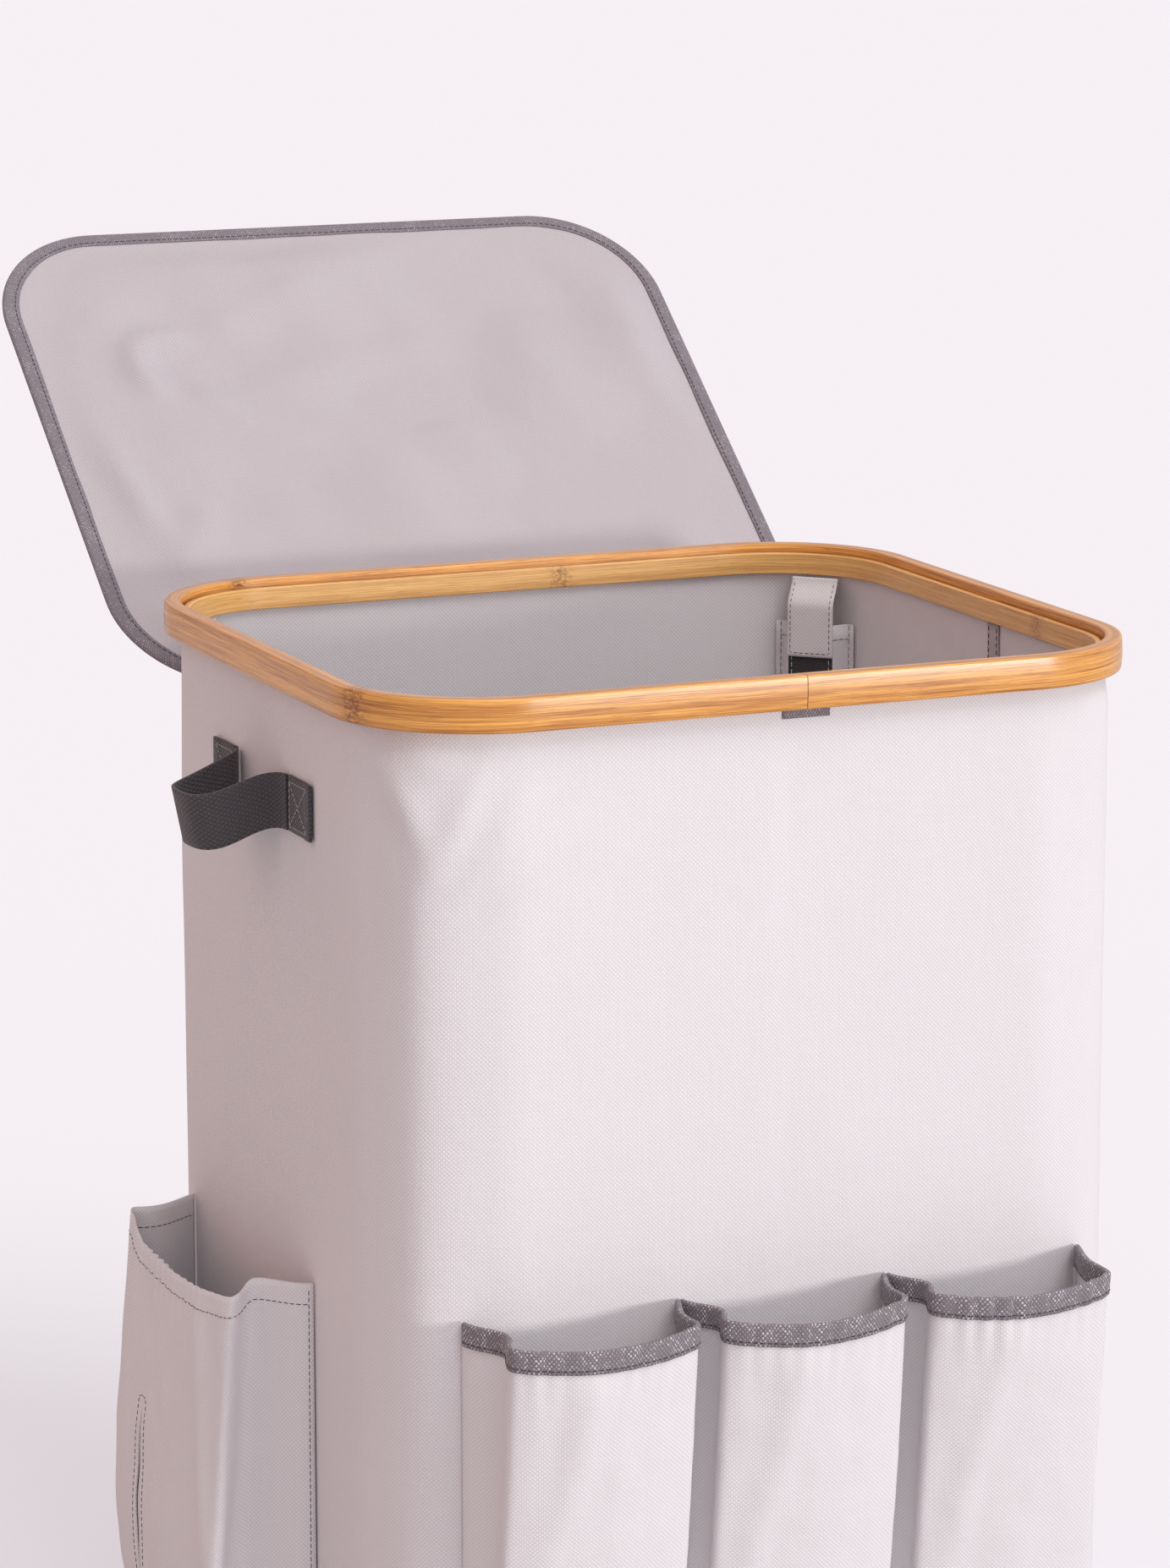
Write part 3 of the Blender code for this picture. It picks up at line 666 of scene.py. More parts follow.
def wall_bulge(station, z):
    """How far the wall's cloth stands off its even outline, at a hoop station and height."""
    cx, cy, nx, ny, reach = station
    x, y = cx + nx * WALL_MIDDLE, cy + ny * WALL_MIDDLE
    tall = (z - WALL_BOTTOM) / (WALL_TOP - WALL_BOTTOM)
    held = smooth(tall, 0.0, 0.06) * (1 - smooth(z, WALL_TOP - 0.030, WALL_TOP - 0.008))
    calm = 1 - 0.75 * (1 - smooth(z, POCKET_TOP - 0.01, POCKET_TOP + 0.06))
    slack = 0.0011 * ripple(reach, z * 0.55, 3.1, 7.0) + 0.0005 * ripple(reach, z * 0.5, 8.4, 19.0)
    corner = max(0.0, abs(nx * ny) * 2) ** 0.7
    slack += corner * 0.0010 * ripple(reach * 0.4, z, 5.7, 11.0)
    peak = corner_peak(atan2(abs(ny), abs(nx))) * held
    if nx <= 0 and ny <= 0:
        peak *= 1 + 0.35 * ripple(0.0, z, 1.9, 12.0)
        slack += dents(x, z, PUCKERS)
    if nx < -0.99:
        line = y - (0.02 + (0.55 - z) * 0.30)
        slack += 0.0007 * bell(line / 0.010) * smooth(z, 0.30, 0.36) * (1 - smooth(z, 0.50, 0.56))
    return peak + max(slack * held * calm, -0.0003 - 0.0009 * (1 - corner))


def wall_point(station, z, radius=WALL_MIDDLE):
    cx, cy, nx, ny, _ = station
    r = radius + wall_bulge(station, z)
    return (cx + nx * r, cy + ny * r, z)


def plate_cloth(name, radius, z, finish, thickness, half_x=ARC_X, half_y=ARC_Y, rise=None, rings=22):
    """A flat rounded rectangle of cloth as nested rings. rise(x, y) lifts it off its plane."""
    points = []
    for share in (1 - k / rings for k in range(rings + 1)):
        row = []
        for cx, cy, nx, ny, _ in hoop(0.012, 12)[:-1]:
            x = (cx * half_x / ARC_X + nx * radius) * share
            y = (cy * half_y / ARC_Y + ny * radius) * share
            row.append((x, y, z + (rise(x, y) if rise else 0.0)))
        points.append(row)
    points = np.array(points)
    flat = np.concatenate([points[:, :, :2], points[:, :1, :2]], axis=1)
    return thicken(joined(grid_object(name, points, flat, finish, wrap=True)), thickness)


def rounded_area(width, length, radius):
    return width * length - (4 - pi) * radius**2


def make_body():
    stations = hoop(0.0055, 26)
    heights = np.linspace(WALL_TOP - TUCK, WALL_BOTTOM, 128)
    points = [[wall_point(station, z) for station in stations[:-1]] for z in heights]
    flat = [[(station[4], z) for station in stations] for z in heights]
    wall = thicken(grid_object("wall_cloth", points, flat, WALL_CLOTH, wrap=True), FABRIC)
    dress(wall, "body_wall")

    base = plate_cloth("base_cloth", WALL_OUTER - 0.0008, 0.0008, WALL_CLOTH, 0.0014)
    area = rounded_area(2 * FACE_X, 2 * FACE_Y, WALL_OUTER)
    dress(base, "base_panel")

    board = plate_cloth("base_insert", WALL_OUTER - 0.0022, 0.0033, BOARD, 0.0030)
    edge = board.modifiers.new("edge", "BEVEL")
    edge.width, edge.segments, edge.limit_method = 0.0006, 2, "ANGLE"
    dress(board, "base_board")

    seam_z, stand = 0.0075, 0.0002
    line = [
        (np.array(wall_point(s, seam_z, WALL_OUTER + stand)), np.array((s[2], s[3], 0.0)))
        for s in stations
    ]
    stitches("base_seam", [line], CANVAS_THREAD)


def make_side_tape():
    """The seam tape up the middle of the right wall's inside."""
    low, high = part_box("side_seam_tape")
    x = (low.x + high.x) / 2

    def place(down, across):
        y, z = low.y + (high.y - low.y) * across, high.z + (low.z - high.z) * down
        return (x - 0.0003 * abs(ripple(y, z, 1.0, 30.0)), y, z)

    # cut from the darker canvas, whose darkness is painted shade
    tape = cloth("side_seam_binding", lattice(60, 7, place), SHADE_PAINTED_CANVAS, 0.0007)
    dress(tape, "side_seam_tape")
    face, inset = x - 0.0006, 0.0018
    lines = [
        straight_line((face, y, high.z - 0.002), (face, y, low.z + 0.002), (-1, 0, 0))
        for y in (low.y + inset, high.y - inset)
    ]
    stitches("side_seam_stitches", lines)


# Corners: poles, sleeves, hook tapes and tabs. Each is made in a frame whose +X runs outward from
# the middle of the corner's arc, and then moved to its place


def moved(grid, place):
    matrix = np.array(place)
    return np.asarray(grid, float) @ matrix[:3, :3].T + matrix[:3, 3]


def make_pole(name, place, foot):
    sides = 28
    rings = [(foot, 0.6), (foot, 0.9), (foot + 0.0005, 1.0)]
    rings += [(foot + (POLE_TOP - foot) * k / 40, 1.0) for k in range(1, 40)]
    rings += [(POLE_TOP - 0.0012, 1.0), (POLE_TOP - 0.0003, 0.93), (POLE_TOP, 0.78), (POLE_TOP, 0.02)]
    turns = [2 * pi * k / sides for k in range(sides + 1)]
    grid = [
        [(POLE_CENTRE + POLE_RADIUS * size * cos(t), POLE_RADIUS * size * sin(t), z) for t in turns[:-1]]
        for z, size in rings
    ]
    flat = [[(z, POLE_RADIUS * t) for t in turns] for z, _ in rings]
    pole = grid_object("pole_rod_" + name, moved(grid, place), flat, POLE_WOOD, wrap=True)
    dress(pole, "pole_" + name)


def make_sleeve(name, place, foot, seed):
    on_wall = WALL_OUTER - FABRIC - 0.0009
    half = [(across, sqrt(on_wall**2 - across**2)) for across in (0.0240, 0.0185)]
    half.append((0.0135, SLEEVE_FRONT))
    path = eased(resampled(half + [(-across, out) for across, out in reversed(half)], 61), 3)
    rows = 70
    grid = []
    for r in range(rows):
        z = SLEEVE_TOP + (foot + 0.001 - SLEEVE_TOP) * r / (rows - 1)
        row = []
        for across, out in path:
            loose = 1 - smooth(abs(across), 0.015, 0.021)
            row.append((out + 0.0004 * loose * ripple(across, z, seed, 22.0), across, z))
        grid.append(row)
    grid = moved(grid, place)
    sleeve = cloth("sleeve_" + name, grid, WALL_CLOTH, SLEEVE_THICK)
    size = (float(lengths(path)[-1]), SLEEVE_TOP - foot)
    dress(sleeve, "pole_sleeve_" + name)
    sewn = (down(3, 0, rows), down(57, 0, rows), along(1.0, 2, 59))
    lines = [grid_line(grid, places, -0.0005) for places in sewn]
    stitches("sleeve_stitches_" + name, lines, CANVAS_THREAD)


def make_hooks(name, place, inward):
    face = SLEEVE_FRONT - SLEEVE_THICK / 2 - 0.0007
    grid = moved(
        lattice(9, 9, lambda down, across: (
            face, HOOK_TAPE_WIDTH * (across - 0.5), HOOK_TAPE_TOP - HOOK_TAPE_TALL * down
        )),
        place,
    )
    hooks = cloth("hook_patch_" + name, grid, HOOKS, HOOK_THICK)
    dress(hooks, "hook_tape_" + name)
    near, far = 0.6, 7.4
    loop = runs(((near, near), (near, far), (far, far), (far, near), (near, near)), 12, 12, 12, 12)
    line = grid_line(grid, loop, 0.0, inward)
    stitches("hook_stitches_" + name, [line], PALE_THREAD, lift=0.0005)


def make_tab(name, place, inward, seed):
    resting = SLEEVE_FRONT - SLEEVE_THICK / 2 - HOOK_THICK - TAB_ROOM - TAB_THICK / 2
    reach = TAB_HINGE_RADIUS - resting
    slope = [(reach * (1 - cos(pi * s / 12)) / 2, TAB_BEND * s / 12) for s in range(13)]
    path = resampled(slope + [(reach, TAB_LENGTH)], 34)
    last, wide = len(path) - 1, 20
    grid = []
    for index, (inner, below) in enumerate(path):
        row = []
        for c in range(wide + 1):
            across = TAB_WIDTH * (c / wide - 0.5)
            lift = 0.0004 * index / last * ripple(across, below, seed, 45.0)
            row.append((TAB_HINGE_RADIUS - inner - max(lift, 0.0), across, HEIGHT - TAB_HINGE_DROP - below))
        grid.append(row)
    grid = moved(grid, place)
    tab = cloth("tab_" + name, grid, WALL_CLOTH, TAB_THICK)
    inset, end = 1.4, last - 1.5
    rail = runs(((2, inset), (end, inset), (end, wide - inset), (2, wide - inset)), 24, 16, 24)
    line = grid_line(grid, rail, STITCH_LIFT, inward)
    sewn = stitches("tab_stitches_" + name, [line], DARK_THREAD, "tab_" + name, TAB_STITCH)
    dress(tab, "pole_tab_" + name, "tab_" + name)


def make_corner(name, side_x, side_y):
    turn = Matrix.Rotation(atan2(side_y, side_x), 4, "Z")
    place = Matrix.Translation((side_x * ARC_X, side_y * ARC_Y, 0)) @ turn
    inward = np.array(place)[:3, :3] @ np.array((-1.0, 0.0, 0.0))
    foot = FLOOR_TOP + 0.0004
    make_pole(name, place, foot)
    make_sleeve(name, place, foot, side_x + 3 * side_y)
    make_hooks(name, place, inward)
    make_tab(name, place, inward, side_x * 2 + side_y)


# Handles


# Plan of a webbing loop, as (along the wall, out from it)
LOOP_PLAN = (
    (-0.0395, 0.0016), (-0.0345, 0.0018), (-0.0290, 0.0040), (-0.0255, 0.0110), (-0.0240, 0.0200),
    (-0.0232, 0.0300), (-0.0205, 0.0390), (-0.0145, 0.0450), (-0.0040, 0.0466), (0.0080, 0.0464),
    (0.0170, 0.0430), (0.0225, 0.0360), (0.0240, 0.0270), (0.0250, 0.0180), (0.0275, 0.0090),
    (0.0320, 0.0030), (0.0390, 0.0018),
)


def make_handle(name, side):
    """A webbing loop, flat on the wall at both ends and drooping between, and its two sewn ends."""
    grid = []
    for span, out in eased(resampled(LOOP_PLAN, 85), 12):
        x = side * (FACE_X + CLEAR + out)
        z = HANDLE_Z - HANDLE_DROOP * smooth(out, 0.0, HANDLE_BULGE)
        lean = side * STRAP_LEAN * (abs(x) - FACE_X) / HANDLE_BULGE
        grid.append([(x + lean * across, HANDLE_Y + span, z + across) for across in WEB_ACROSS])
    loop = cloth(f"handle_{name}_strap", np.array(grid), WEBBING, WEB_THICK)
    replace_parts(loop, f"handle_{name}_loop")
    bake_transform(loop)
    for end, direction in ENDS.items():
        make_handle_end(name, side, end, direction)


def make_handle_end(name, side, end, direction):
    start = HANDLE_Y + direction * HANDLE_HALF_SPAN
    grid = []
    for r in range(15):
        span = ANCHOR_LENGTH * r / 14
        fold = WEB_THICK / 2 * (1 + smooth(span, ANCHOR_LENGTH - 0.010, ANCHOR_LENGTH - 0.007))
        row = []
        for across in WEB_ACROSS:
            sewn = 0.0003 * abs(ripple(span, across, side + direction, 60.0))
            row.append((side * (FACE_X + CLEAR + fold + sewn), start + direction * span, HANDLE_Z + across))
        grid.append(row)
    anchor = cloth(f"handle_{name}_end_{end}", np.array(grid), WEBBING, WEB_THICK)
    dress(anchor, f"handle_{name}_anchor_{end}")

    low, high, half = 0.003, ANCHOR_LENGTH - 0.005, WEB_WIDTH / 2 - 0.0030
    box = ((low, -half), (high, -half), (high, half), (low, half), (low, -half))
    cross = ((high, half), (high, -half), (low, half))
    face = FACE_X + CLEAR + WEB_THICK + 0.0009
    corners = [(side * face, start + direction * span, HANDLE_Z + across) for span, across in box + cross]
    lines = [straight_line(a, b, (side, 0, 0)) for a, b in zip(corners, corners[1:])]
    stitches(f"handle_{name}_stitches_{end}", lines, PALE_THREAD, size=HANDLE_STITCH)


# Pockets


def wall_recess(at, arc):
    """How far the wall's outside falls back from its flat face, where it turns into a corner."""
    beyond = max(abs(at) - arc, 0.0)
    out = sqrt(WALL_OUTER**2 - beyond**2)
    return WALL_OUTER - out - corner_peak(atan2(out, beyond))


def pocket_plan(low, high, arc, depth, bulge, inset, count, sway, peak):
    """Plan of a pocket's cloth from seam to seam, as (along, out) points.

    Each gusset bends inward by sway times the depth, the near one most at the share peak of its way.
    """
    clear = 0.0009
    start, end = ((at, clear - wall_recess(at, arc)) for at in (low, high))
    first, last = (low + inset, clear + depth), (high - inset, clear + depth)
    path = [start]
    for share in shares(16)[1:-1]:
        bend = sway * smooth(share, 0.10, peak) * (1 - smooth(share, peak, 1.0)) * depth
        at, out = (a + (b - a) * share for a, b in zip(start, first))
        path.append((at + bend, out))
    for share in shares(40):
        out = clear + depth + bulge * sin(pi * share) ** 0.8
        path.append((first[0] + (last[0] - first[0]) * share, out))
    for share in shares(8)[1:-1]:
        bend = 0.5 * sway * sin(pi * (1 - share) ** 1.3) * depth
        at, out = (a + (b - a) * share for a, b in zip(last, end))
        path.append((at - bend, out))
    path.append(end)
    return eased(resampled(path, count), 2)


def front_dip(share):
    """How far a front pocket's mouth sags, share of the way along its cloth."""
    return POCKET_DIP * sin(pi * min(max((share - 0.2) / 0.6, 0.0), 1.0))


def side_dip(share):
    """The side pocket's mouth sags between its two folds, most at the far one, and its gussets stay up."""
    panel = (share - 0.17) / 0.66
    held = 1 - smooth(panel, 0.82, 1.0)
    return SIDE_DIP * smooth(share, 0.125, 0.165) * smooth(panel, -0.35, 0.5) * held


def pocket_grid(shape, top, dip, fullness, place, seed, columns, rows, sway, peak):
    """Cloth of a pocket from mouth to bottom seam, with soft folds running down it.

    shape is the two seams' places, where the wall's corner starts, and the pocket's depth, bulge and inset.
    fullness is the depth's share at a share of the way down, and place puts (along, out, z) on the wall.
    """
    low, high, arc, depth, bulge, inset = shape
    middle, half_width = (low + high) / 2, (high - low) / 2
    grid = []
    for share in shares(rows - 1):
        z = top + (POCKET_BOTTOM - top) * share
        below = top - z
        scale = fullness(share)
        plan = pocket_plan(
            low, high, arc, depth * scale, bulge * scale, inset * min(1, 2 * scale), columns, sway, peak
        )
        row = []
        for c, (at, out) in enumerate(plan):
            panel = smooth(out, depth * scale * 0.55, depth * scale * 0.95 + 1e-6) if scale > 0.05 else 0.0
            sunk = dip(c / (columns - 1)) * (1 - share)
            fold = 0.0016 * ripple(at, z * 0.22, seed, 34.0) + 0.0008 * ripple(at, z * 0.5, seed + 5, 70.0)
            fold += 0.0022 * ripple(at * 0.8, z * 0.5, seed + 9, 13.0)
            crease = bell((at - low - 0.052 + 0.20 * below) / 0.010)
            fold += 0.0034 * crease * smooth(below, 0.0, 0.03) * (1 - smooth(below, 0.16, 0.24))
            gather = 0.0011 * sin(at * 620 + seed) * (1 - smooth(share, 0.02, 0.16))
            offset = panel * scale * (fold + gather * (0.5 + ripple(at, 0, seed, 25.0)))
            row.append(place(at, out + offset * (1 - ((at - middle) / half_width) ** 6), z - sunk))
        grid.append(row)
    return np.array(grid)


def make_front_pocket(name, low, high, seed):
    shape = (low, high, ARC_X, POCKET_DEPTH, POCKET_BULGE, FRONT_INSET)
    grid = pocket_grid(
        shape, POCKET_TOP - 0.0011, front_dip, lambda share: max(1 - share, 0.0) ** 0.55,
        lambda at, out, z: (at, -FACE_Y - out, z), seed, 97, 66, 0.20, 0.58,
    )
    flat = flat_of(grid)
    panel = thicken(grid_object("pocket_cloth_" + name, grid, flat, WALL_CLOTH), FABRIC)

    columns = range(grid.shape[1])
    normals = np.array([surface_point(grid, 1, c)[1] for c in columns])
    normals *= -np.sign(np.mean(normals[:, 1]))
    stand = FABRIC / 2 + CLEAR + BINDING_THICK / 2
    depth_rows = [row_at(flat, depth) for depth in (0.0, 0.003, 0.006, 0.009, POCKET_TAPE - 0.0009)]
    front, back = (
        [
            [surface_point(grid, row, c)[0] + side * normals[c] * stand for c in columns]
            for row in depth_rows
        ]
        for side in (1, -1)
    )
    over = []
    for turn in map(radians, (30, 60, 90, 120, 150)):
        rise = np.array((0.0, 0.0, stand * 0.75 * sin(turn)))
        over.append([grid[0, c] + normals[c] * stand * cos(turn) + rise for c in columns])
    band = np.array(front[::-1] + over + back)[:, 1:-1]
    tape = cloth("pocket_binding_" + name, band, POCKET_EDGE, BINDING_THICK)

    face, seam_row = stand + BINDING_THICK / 2 + 0.0001, row_at(flat, POCKET_TAPE - 0.0030)
    line = [(surface_point(grid, seam_row, c)[0] + normals[c] * face, normals[c]) for c in columns[1:-1]]
    sewn = stitches("pocket_tape_stitches_" + name, [line], TAPE_THREAD, size=TAPE_STITCH)
    dress(panel, "front_pocket_" + name)
    dress(tape, "pocket_tape_" + name)

    facing, last = np.array((0.0, -1.0, 0.0)), len(columns) - 2
    lines = [grid_line(grid, down(column, 5, 64), STITCH_LIFT, facing) for column in (1.2, last - 0.2)]
    lines.append(grid_line(grid, along(63.6, 2, last), 0.0008, facing))
    stitches("pocket_seam_stitches_" + name, lines)


def make_side_pocket():
    rows, columns = 74, 109
    shape = (SIDE_LOW, SIDE_HIGH, ARC_Y, SIDE_DEPTH, SIDE_BULGE, SIDE_INSET)
    grid = pocket_grid(
        shape, SIDE_TOP, side_dip, lambda share: (1 + 0.50 * share) * max(1 - share**6, 0.0) ** 0.6,
        lambda at, out, z: (-FACE_X - out, at, z), 4.2, columns, rows, 0.36, 0.62,
    )
    flat = flat_of(grid)
    slit = int(np.argmin(np.abs(grid[rows // 2, 20:-20, 1] - SLIT_Y))) + 20
    open_rows = [r for r in range(rows - 1) if SLIT_BOTTOM < grid[r, slit, 2] < SLIT_TOP]
    for r in open_rows:
        share = (r - open_rows[0]) / max(len(open_rows) - 1, 1)
        gape = SLIT_GAPE * sin(pi * share) ** 0.6 + 0.0003
        centre = (grid[r, slit] + grid[r, slit + 1]) / 2
        apart = grid[r, slit + 1] - grid[r, slit]
        apart /= np.linalg.norm(apart)
        grid[r, slit], grid[r, slit + 1] = centre - apart * gape, centre + apart * gape
    missing = {(r, slit) for r in open_rows}
    panel = thicken(grid_object("side_pocket_cloth", grid, flat, WALL_CLOTH, missing=missing), FABRIC)
    width = float(flat[0, -1, 0])
    dress(panel, "side_pocket")

    hem = along(row_at(flat, 0.0115), 1, columns - 1)
    far_fold = column_at(flat, width - 0.0445)
    box, reach = [], 2.6
    for row, way in ((open_rows[0] - 1.6, -1), (open_rows[-1] + 2.6, 1)):
        for turn in (pi * k / 8 for k in range(9)):
            box.append((row + way * sin(turn), slit + 0.5 + way * reach * cos(turn)))
    outer_lines = [
        hem, down(far_fold, 0, rows - 1), down(1.0, 1, rows - 1), down(columns - 2.2, 1, rows - 1),
        along(rows - 1.6, 2, columns - 2), resampled(box + box[:1], 120),
    ]
    outward = -STITCH_LIFT if surface_point(grid, 10, columns // 2)[1][0] > 0 else STITCH_LIFT
    lines = [grid_line(grid, hem, -outward)] + [grid_line(grid, places, outward) for places in outer_lines]
    stitches("side_pocket_stitches", lines, size=SIDE_STITCH)


# Lid and flap


LID_FRAME = (
    Matrix.Translation((0, *LID_HINGE))
    @ Matrix.Rotation(radians(90 - LID_LEAN), 4, "X")
    @ Matrix.Translation((0, LID_SEAM_ROOM + LID_LENGTH / 2, 0))
)
LID_HALF_X, LID_HALF_Y = LID_WIDTH / 2 - LID_RADIUS, LID_LENGTH / 2 - LID_RADIUS
LID_ROUND = 4 * (LID_HALF_X + LID_HALF_Y) + 2 * pi * LID_RADIUS
SWIRL_X, SWIRL_Y = -0.122, 0.068
# The lining's wrinkles, as dents() takes them: one by the swirl, two pinches at the left edge and two folds
LID_DENTS = (
    (0.0030, -0.108, 0.040, 0.011, 0.020, 0.7), (0.0050, -0.176, -0.040, 0.010, 0.040, 0.25),
    (0.0026, -0.150, -0.075, 0.012, 0.040, -0.5), (0.0024, -0.060, 0.110, 0.060, 0.012, 0.45),
    (0.0022, -0.020, 0.060, 0.070, 0.016, 0.25),
)


def lid_wrinkle(x, y):
    """Height of the lid lining: a swirl at its upper left, dents, and slack all over."""
    away, turn = hypot(x - SWIRL_X, y - SWIRL_Y), atan2(y - SWIRL_Y, x - SWIRL_X)
    swirl = 0.0062 * bell((away - 0.024) / 0.009) * smooth(cos(turn - 2.6), -0.5, 0.6)
    soft = 0.0080 * ripple(x, y, 2.2, 9.0) + 0.0040 * ripple(x + 0.3 * y, y, 6.1, 20.0)
    return 0.0012 + swirl + dents(x, y, LID_DENTS) + soft


def lid_loose(x, y):
    """1 over the lid's middle, and 0 where the binding clamps its edge."""
    edge = LID_RADIUS - hypot(max(abs(x) - LID_HALF_X, 0.0), max(abs(y) - LID_HALF_Y, 0.0))
    return smooth(min(edge, LID_WIDTH / 2 - abs(x), LID_LENGTH / 2 - abs(y)), 0.009, 0.040)


def lid_stations():
    """Stations round the lid, as in hoop()."""
    stations = []
    for side_x, side_y, start in ((1, -1, -90), (1, 1, 0), (-1, 1, 90), (-1, -1, 180)):
        for turn in (radians(start + 90 * k / 24) for k in range(25)):
            stations.append((side_x * LID_HALF_X, side_y * LID_HALF_Y, cos(turn), sin(turn)))
    dense = []
    for a, b in zip(map(np.array, stations), map(np.array, stations[1:] + stations[:1])):
        count = max(1, round(hypot(*(b[:2] - a[:2])) / 0.006))
        dense += [tuple(a + (b - a) * k / count) for k in range(count)]
    return measured(dense, LID_RADIUS)


def binding_profile():
    """The folded tape's section, as (inset from the lid's edge, height), from top to bottom."""
    stand = 0.00160
    leg = [(LID_TAPE * (1 - k / 5), stand) for k in range(4)]
    bend = [(0.0017 - 0.0014 * sin(radians(t)), stand * cos(radians(t))) for t in range(0, 181, 30)]
    return leg + bend + [(inset, -z) for inset, z in reversed(leg)]


def make_lid():
    halves, inside, cloth_z = (LID_HALF_X, LID_HALF_Y), LID_RADIUS - 0.0009, 0.0011
    board = plate_cloth("lid_stiffener", inside, 0.0006 - LID_BOARD / 2, BOARD, LID_BOARD, *halves, rings=4)
    # The lining wears the darker canvas, painted shade for the leaning lid
    lining = plate_cloth(
        "lid_lining_cloth", inside, cloth_z, SHADE_PAINTED_CANVAS, 0.0004, *halves,
        lambda x, y: lid_loose(x, y) * max(lid_wrinkle(x, y) + 0.0006, 0.0), rings=44,
    )
    cover = plate_cloth(
        "lid_cover_cloth", inside, -cloth_z, WALL_CLOTH, 0.0004, *halves,
        lambda x, y: -lid_loose(x, y) * max(0.0008 + 0.0008 * ripple(x, y, 7.7, 13.0), 0.0), rings=44,
    )

    stations, profile = lid_stations(), binding_profile()
    grid = []
    for inset, z in profile:
        uneven = 0.0008 if inset > LID_TAPE * 0.6 else 0.0
        row = []
        for cx, cy, nx, ny, _ in stations:
            r = LID_RADIUS - inset - uneven * ripple(cx + nx * LID_RADIUS, cy + ny * LID_RADIUS, 3.3, 30.0)
            row.append((cx + nx * r, cy + ny * r, z))
        grid.append(row)
    reaches = [reach for *_, reach in stations] + [LID_ROUND]
    flat = [[(reach, around) for reach in reaches] for around in lengths(profile)]
    binding = thicken(grid_object("lid_edge_binding", grid, flat, GREY_TAPE, wrap=True), 0.0005)

    seam, face = LID_RADIUS - LID_TAPE + 0.0022, 0.0021
    lines = [
        [(np.array((cx + nx * seam, cy + ny * seam, side * face)), np.array((0.0, 0.0, side)))
         for cx, cy, nx, ny, _ in stations + stations[:1]]
        for side in (1.0, -1.0)
    ]
    thread = stitches("lid_binding_stitches", lines, DARK_THREAD, None, LID_STITCH)

    for obj in (board, lining, cover, binding, thread):
        obj.data.transform(LID_FRAME)
    dress(board, "lid_board", "lid")
    dress(lining, "lid_lining", "lid")
    dress(cover, "lid_cover", "lid")
    dress(binding, "lid_binding", "lid")
    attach(thread, "lid")
    area = rounded_area(LID_WIDTH, LID_LENGTH, LID_RADIUS)


def make_flap():
    """The strip that hinges the lid: its sewn foot, two stretches, and the rolled hem at the lid."""
    wall, top = FACE_Y + CLEAR, HEIGHT - RIM_TALL - 0.0007
    path = [
        (wall + FLAP_THICK / 2, top - 0.0136), (wall + FLAP_THICK / 2, top - 0.0030),
        (wall + 0.0012, top - 0.0009), (wall + 0.0032, top - 0.0004),
        (FLAP_HINGE[0] - 0.0009, top - 0.0004),
    ]
    path = eased(resampled(path, 26), 2)
    grid = np.array([[(FLAP_WIDTH * (c / 59 - 0.5), y, z) for c in range(60)] for y, z in path])
    foot = cloth("flap_foot_cloth", grid, WALL_CLOTH, FLAP_THICK * 0.9)
    float(lengths(path)[-1])
    dress(foot, "lid_flap_anchor")
    half, y, z = 0.139, wall + FLAP_THICK + 0.0001, top - 0.0105
    line = straight_line((-half, y, z), (half, y, z), (0, 1, 0))
    stitches("flap_foot_stitches", [line])

    hem_y, hem_z = LID_HINGE
    for part, before, start, end in (
        ("lower", "hamper", FLAP_HINGE, FLAP_FOLD),
        ("upper", "flap_lower", FLAP_FOLD, (hem_y, hem_z + 0.0010)),
    ):
        (y, z), (end_y, end_z) = start, end
        near = z - 0.0004

        def place(down, across):
            x, at_z = FLAP_WIDTH * (across - 0.5), near + (end_z - near) * down
            sag = 0.0003 * ripple(x, at_z, 2.0, 25.0) * sin(pi * down)
            return (x, y + (end_y - y) * down + sag, at_z)

        piece = cloth(f"flap_{part}_cloth", lattice(14, 60, place), WALL_CLOTH, FLAP_THICK * 0.85)
        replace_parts(piece, "lid_flap_" + part)
        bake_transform(piece)

    turns = [2 * pi * k / 12 for k in range(13)]
    spans = [FLAP_WIDTH * r / 40 for r in range(41)]
    grid = [
        [(x - FLAP_WIDTH / 2, hem_y + HEM_RADIUS * cos(t), hem_z + HEM_RADIUS * sin(t)) for t in turns[:-1]]
        for x in spans
    ]
    flat = [[(x, HEM_RADIUS * t) for t in turns] for x in spans]
    hem = joined(grid_object("flap_hem_roll", grid, flat, WALL_CLOTH, wrap=True), caps=True)
    dress(hem, "lid_flap_hem", "lid_hem")


# Stage, light and camera


BACKDROP = srgb(244, 242, 247)
FLOOR_GLOW, FLOOR_REACH = 0.33, 40.0
KEY_FROM, KEY_STRENGTH, KEY_COLOUR, KEY_ANGLE = (0.50, -0.866, 0.035), 1.47, (1.0, 0.985, 0.97), 8
TOP_FROM, TOP_STRENGTH, TOP_COLOUR, TOP_ANGLE = (0.20, -0.65, 1.0), 1.12, (1.0, 0.98, 0.97), 35
SKY_FROM, SKY_STRENGTH = Vector((0.58, -0.50, 0.60)).normalized(), 0.92
SKY_LIGHT, SKY_SHADE = (0.78, 0.79, 0.84, 1.0), (0.78, 0.47, 0.38, 1.0)
CAMERA_PLACE, CAMERA_LENS, CAMERA_SENSOR = (-1.2298, -2.7673, 1.1817), 129.09, 36.0
CAMERA_DOWN, CAMERA_TURN = 11.687, -23.446


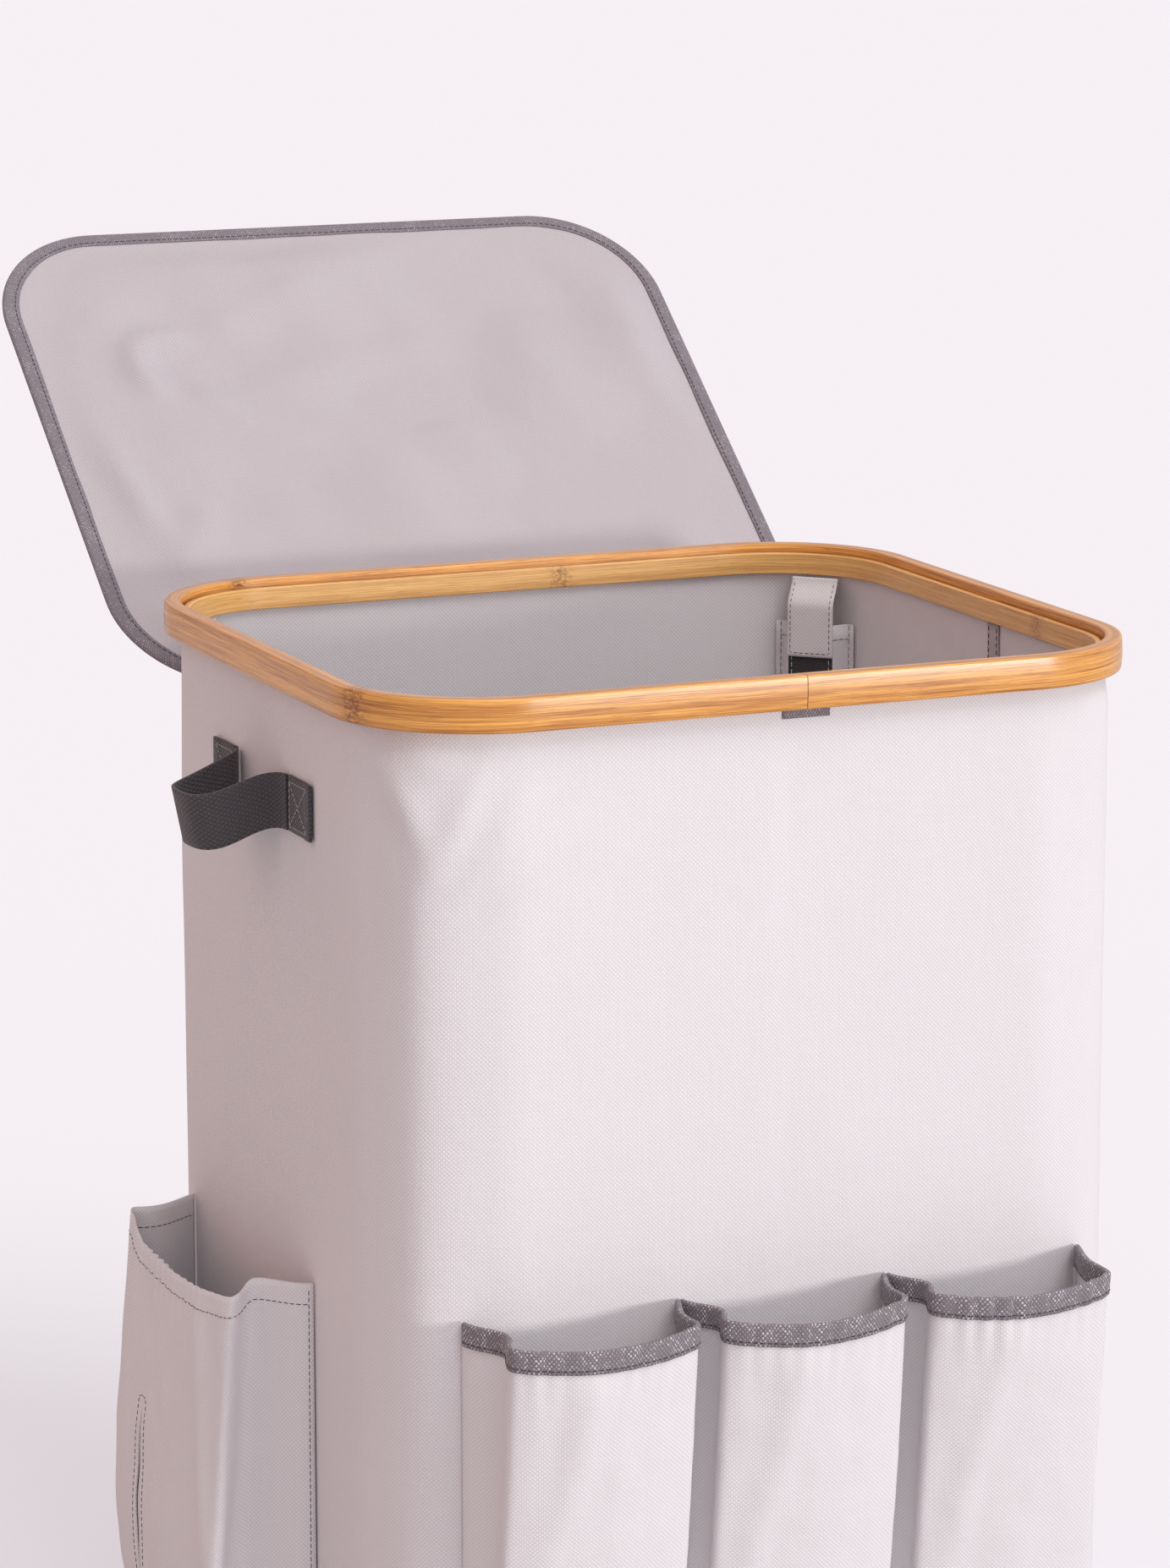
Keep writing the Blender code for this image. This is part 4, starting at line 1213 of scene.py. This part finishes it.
def make_stage():
    s = Shader(bpy.data.materials.new("floor"))
    grain = s.noise(s.add("ShaderNodeTexCoord").outputs["Object"], 3.0, 3.0)
    seen = s.add("ShaderNodeLightPath").outputs["Is Camera Ray"]
    tone = s.mix(s.times(grain, 0.04), srgb(205, 204, 207), srgb(196, 195, 199))
    s.finish(
        tone, Roughness=0.95, Specular_IOR_Level=0.0,
        Emission_Color=BACKDROP, Emission_Strength=s.times(seen, FLOOR_GLOW),
    )
    mesh = bpy.data.meshes.new("floor")
    corners = [(x * FLOOR_REACH, y * FLOOR_REACH, 0) for x, y in ((-1, -1), (1, -1), (1, 1), (-1, 1))]
    mesh.from_pydata(corners, [], [(0, 1, 2, 3)])
    mesh.materials.append(s.owner)
    placed("floor", mesh)


def sun(name, toward, strength, colour, angle):
    """A broad, distant light that shines from the direction toward."""
    light = bpy.data.lights.new(name, "SUN")
    light.energy, light.color, light.angle = strength, colour, radians(angle)
    placed(name, light).rotation_euler = Vector(toward).to_track_quat("Z", "Y").to_euler()


def make_light():
    """A sky that is cool on the side of SKY_FROM and warm on the other, and two suns."""
    world = bpy.data.worlds.new("studio")
    bpy.context.scene.world = world
    s = Shader(world, "Background")
    place = s.add("ShaderNodeTexCoord").outputs["Generated"]
    lean = s.add("ShaderNodeVectorMath", [place, SKY_FROM], operation="DOT_PRODUCT").outputs["Value"]
    sky = s.mix(s.add("ShaderNodeMapRange", [lean, -0.7, 0.7]).outputs[0], SKY_SHADE, SKY_LIGHT)
    seen = s.add("ShaderNodeLightPath").outputs["Is Camera Ray"]
    s.fill(s.surface.inputs["Color"], s.mix(seen, sky, BACKDROP))
    s.fill(s.surface.inputs["Strength"], SKY_STRENGTH)
    sun("key", KEY_FROM, KEY_STRENGTH, KEY_COLOUR, KEY_ANGLE)
    sun("top", TOP_FROM, TOP_STRENGTH, TOP_COLOUR, TOP_ANGLE)


def make_camera():
    data = bpy.data.cameras.new("camera")
    data.lens, data.sensor_width = CAMERA_LENS, CAMERA_SENSOR
    camera = placed("camera", data)
    camera.location = CAMERA_PLACE
    camera.rotation_euler = (radians(90 - CAMERA_DOWN), 0.0, radians(CAMERA_TURN))
    bpy.context.scene.camera = camera


def main():
    make_stage()
    make_light()
    make_camera()
    bpy.context.scene.view_settings.view_transform = "Standard"

    make_rim()
    make_joint_tape()
    make_body()
    make_side_tape()
    for side, side_x in SIDES.items():
        for end, side_y in ENDS.items():
            make_corner(f"{end}_{side}", side_x, side_y)
        make_handle(side, side_x)
    step, seam_room = 2 * POCKET_SEAM_X / 3, 0.0006
    for index, name in enumerate(("left", "middle", "right")):
        low = -POCKET_SEAM_X + step * index + seam_room
        make_front_pocket(name, low, low + step - 2 * seam_room, 1.3 + 2.7 * index)
    make_side_pocket()
    make_lid()
    make_flap()


main()
